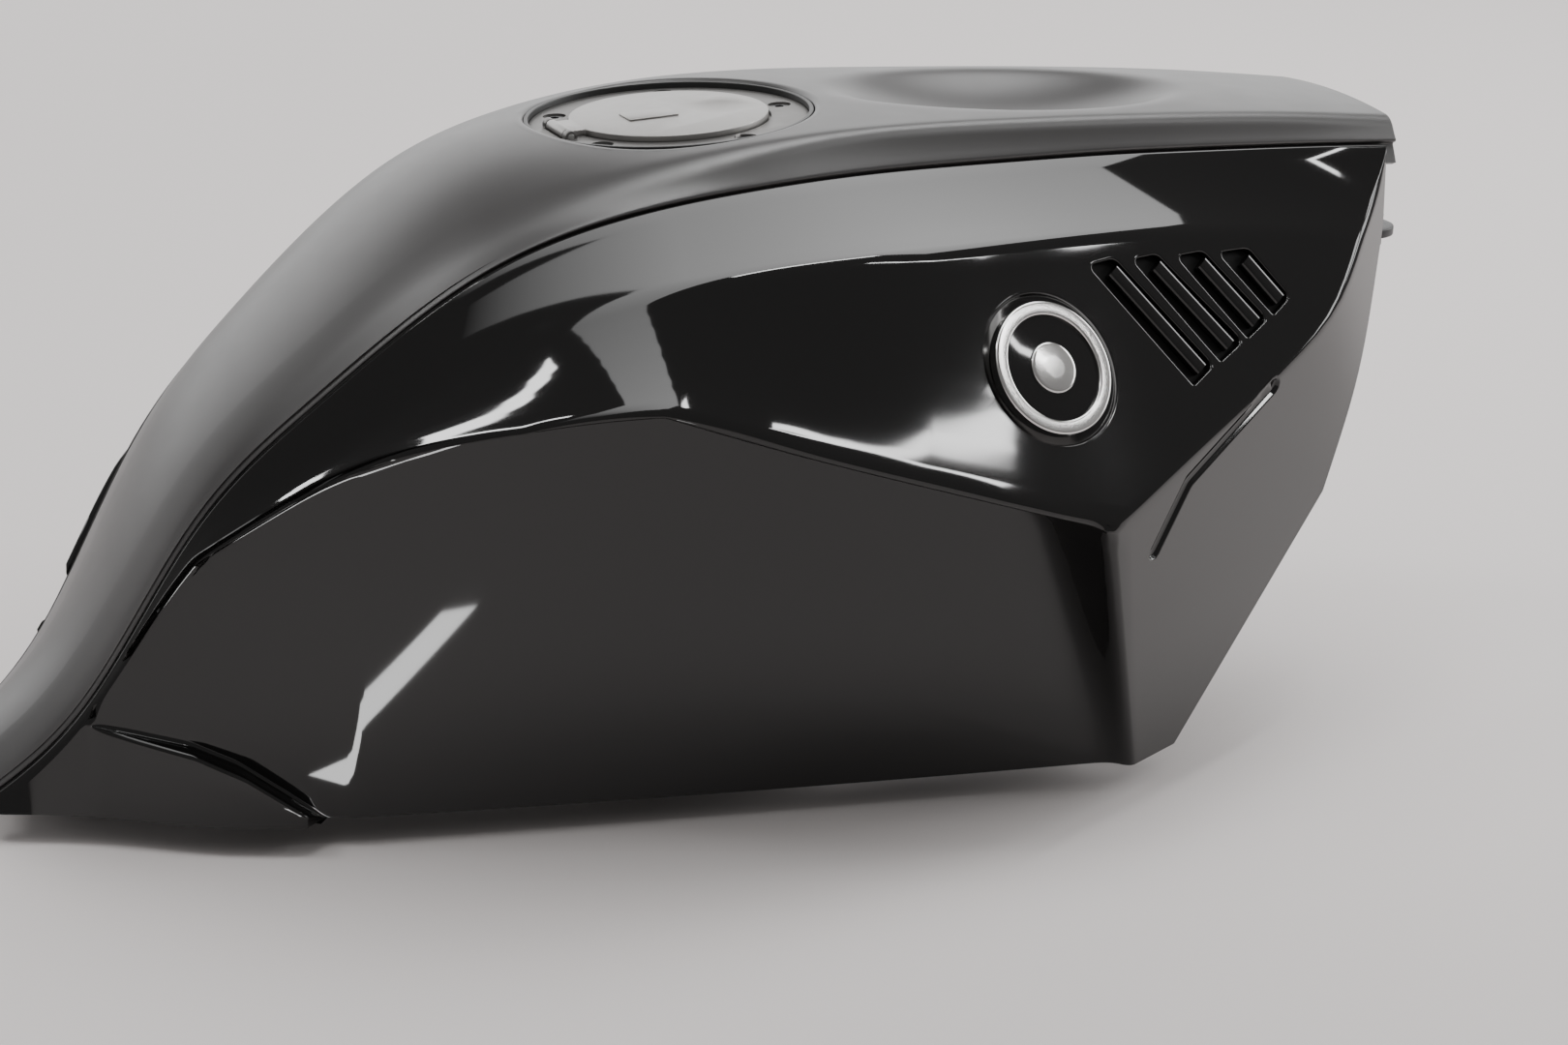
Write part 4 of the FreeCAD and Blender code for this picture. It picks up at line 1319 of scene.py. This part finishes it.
def screw_tree():
    """Geometry Nodes that stand socket screws on a circle."""
    tree, given = new_tree(
        "screw_circle", Count="Int", Pitch_Radius="Float", Head_Radius="Float", Head_Height="Float",
        Socket_Radius="Float", Material="Material")
    circle = tree.nodes.new("GeometryNodeMeshCircle")
    head = tree.nodes.new("GeometryNodeMeshCylinder")
    head.inputs["Vertices"].default_value = 32
    socket = tree.nodes.new("GeometryNodeMeshCylinder")
    socket.inputs["Vertices"].default_value = 6
    offset = tree.nodes.new("ShaderNodeCombineXYZ")
    lift = tree.nodes.new("GeometryNodeTransform")
    lift.inputs["Scale"].default_value = (1.0, 1.0, 1.4)
    carve = tree.nodes.new("GeometryNodeMeshBoolean")
    carve.operation = "DIFFERENCE"
    spread = tree.nodes.new("GeometryNodeInstanceOnPoints")
    link_all(tree, [
        (given, "Count", circle, "Vertices"),
        (given, "Pitch Radius", circle, "Radius"),
        (given, "Head Radius", head, "Radius"),
        (given, "Head Height", head, "Depth"),
        (given, "Socket Radius", socket, "Radius"),
        (given, "Head Height", socket, "Depth"),
        (given, "Head Height", offset, "Z"),
        (socket, "Mesh", lift, "Geometry"),
        (offset, "Vector", lift, "Translation"),
        (head, "Mesh", carve, "Mesh 1"),
        (lift, "Geometry", carve, "Mesh 2"),
        (circle, "Mesh", spread, "Points"),
        (carve, "Mesh", spread, "Instance"),
    ])
    return end_tree(tree, given, spread, "Instances")


class TANK_OT_cap_screws(bpy.types.Operator):
    """Socket screws in the flange's counterbores"""

    bl_idname = "tank.cap_screws"
    bl_label = "Cap screws"

    def execute(self, context):
        cap = context.scene.tank_cap
        screws = add_object("cap_screws", bpy.data.meshes.new("cap_screws"))
        evaluate(screws, screw_tree(), {
            "Count": cap.screw_count,
            "Pitch Radius": cap.screw_pitch * MM,
            "Head Radius": SCREW_HEAD_R * MM,
            "Head Height": SCREW_HEAD_HIGH * MM,
            "Socket Radius": SCREW_SOCKET_R * MM,
            "Material": finish_of("dark_screw"),
        })
        place(screws, cap_frame() @ Matrix.Translation((0, 0, SCREW_Z * MM)))
        fit(screws, "tank", "bright_steel")
        return {"FINISHED"}


class TANK_OT_underside(bpy.types.Operator):
    """Finishes of the tank, its brackets, pump flange, nipples and pads"""

    bl_idname = "tank.underside"
    bl_label = "Tank and fittings"

    def execute(self, context):
        slots = {item["node"]: item["material_slot"] for item in frame["record"]["subparts"]}
        for node, width in EASED:
            body = "lid" if node == "lock_body" else "tank"
            fit(softened(node, width, finish_of(slots[node])), body, slots[node], node)
        for node, obj in frame["nodes"].items():
            if not obj.hide_render:
                obj.data.materials.clear()
                obj.data.materials.append(finish_of(slots[node]))
        return {"FINISHED"}


def dim(data, share):
    """Lets an area light's glow fall to a share of it towards the first end of its middle line."""
    data.use_nodes = True
    tree = data.node_tree
    where = tree.nodes.new("ShaderNodeNewGeometry")
    split = tree.nodes.new("ShaderNodeSeparateXYZ")
    scale = tree.nodes.new("ShaderNodeMapRange")
    scale.inputs["To Min"].default_value = share
    tree.links.new(where.outputs["Parametric"], split.inputs["Vector"])
    tree.links.new(split.outputs["X"], scale.inputs["Value"])
    tree.links.new(scale.outputs["Result"], tree.nodes["Emission"].inputs["Strength"])


def add_floor(stage):
    """Plain floor just under the part."""
    low, far = CAD_BOX[0].z - FLOOR_GAP, FLOOR_HALF
    mesh = bpy.data.meshes.new("floor")
    corners = [(-far, -far, low), (far, -far, low), (far, far, low), (-far, far, low)]
    mesh.from_pydata(corners, [], [(0, 1, 2, 3)])
    mesh.materials.append(Finish("floor", stage.floor_colour, 0.85, specular=0.2).material)
    return add_object("floor", mesh)


def add_light(stage, name, a, b, width, glow, share, facing):
    """Soft rectangular light about the line from a to b."""
    a, b = Vector(a), Vector(b)
    data = bpy.data.lights.new(name, "AREA")
    data.shape = "RECTANGLE"
    data.size, data.size_y = (b - a).length, width
    data.energy = glow * stage.brightness * math.pi * data.size * data.size_y
    if share < 1.0:
        dim(data, share)
    x = (b - a).normalized()
    z = -Vector(facing)
    z = (z - x * z.dot(x)).normalized()
    light = add_object(name, data)
    light.matrix_world = Matrix((x, z.cross(x), z)).transposed().to_4x4()
    light.location = (a + b) / 2
    light.visible_camera = False
    return light


def add_camera():
    """Camera at the photo's viewing angle."""
    data = bpy.data.cameras.new("camera")
    data.sensor_width = SENSOR_WIDTH
    data.lens = CAMERA_FOCAL * SENSOR_WIDTH / IMAGE_WIDTH
    data.clip_end = 100.0
    a, e, r = [math.radians(v) for v in (CAMERA_AZIMUTH, CAMERA_ELEVATION, CAMERA_ROLL)]
    back = Vector((math.sin(a) * math.cos(e), -math.cos(a) * math.cos(e), math.sin(e)))
    level = (-back).cross(Vector((0, 0, 1))).normalized()
    up = level.cross(-back)
    axes = (level * math.cos(r) + up * math.sin(r), up * math.cos(r) - level * math.sin(r), back)
    matrix = Matrix(axes).transposed().to_4x4()
    matrix.translation = Vector(CAMERA_POS) * MM
    camera = add_object("camera", data)
    camera.matrix_world = matrix
    bpy.context.scene.camera = camera
    return camera


class TANK_OT_stage(bpy.types.Operator):
    """Pale floor, soft lights and the camera"""

    bl_idname = "tank.stage"
    bl_label = "Stage"

    def execute(self, context):
        stage = context.scene.tank_stage
        world = bpy.data.worlds.new("surroundings")
        context.scene.world = world
        world.use_nodes = True
        sky = world.node_tree.nodes["Background"]
        sky.inputs["Color"].default_value = WORLD_COLOUR
        sky.inputs["Strength"].default_value = stage.world
        add_floor(stage)
        [add_light(stage, *row) for row in LIGHTS]
        add_camera()
        return {"FINISHED"}


OPERATORS = [
    TANK_OT_top_cover,
    TANK_OT_side_covers,
    TANK_OT_badges,
    TANK_OT_vents,
    TANK_OT_filler_cap,
    TANK_OT_cap_screws,
    TANK_OT_underside,
    TANK_OT_stage,
]


class TANK_PT_panel(bpy.types.Panel):
    """Panel that lists the pieces"""

    bl_label = "Fuel Tank"
    bl_idname = "TANK_PT_panel"
    bl_space_type = "VIEW_3D"
    bl_region_type = "UI"
    bl_category = "Fuel Tank"

    def draw(self, context):
        for operator in OPERATORS:
            self.layout.operator(operator.bl_idname)


SETTINGS = [("tank_looks", LooksSettings), ("tank_cap", CapSettings), ("tank_stage", StageSettings)]


def register():
    for name, group in SETTINGS:
        bpy.utils.register_class(group)
        setattr(bpy.types.Scene, name, bpy.props.PointerProperty(type=group))
    for cls in (*OPERATORS, TANK_PT_panel):
        bpy.utils.register_class(cls)


def unregister():
    for cls in (TANK_PT_panel, *reversed(OPERATORS)):
        bpy.utils.unregister_class(cls)
    for name, group in reversed(SETTINGS):
        delattr(bpy.types.Scene, name)
        bpy.utils.unregister_class(group)


def main():
    register()
    bpy.ops.tank.top_cover()
    bpy.ops.tank.side_covers()
    bpy.ops.tank.badges()
    bpy.ops.tank.vents()
    bpy.ops.tank.filler_cap()
    bpy.ops.tank.cap_screws()
    bpy.ops.tank.underside()
    bpy.ops.tank.stage()
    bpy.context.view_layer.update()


if __name__ == "__main__":
    main()
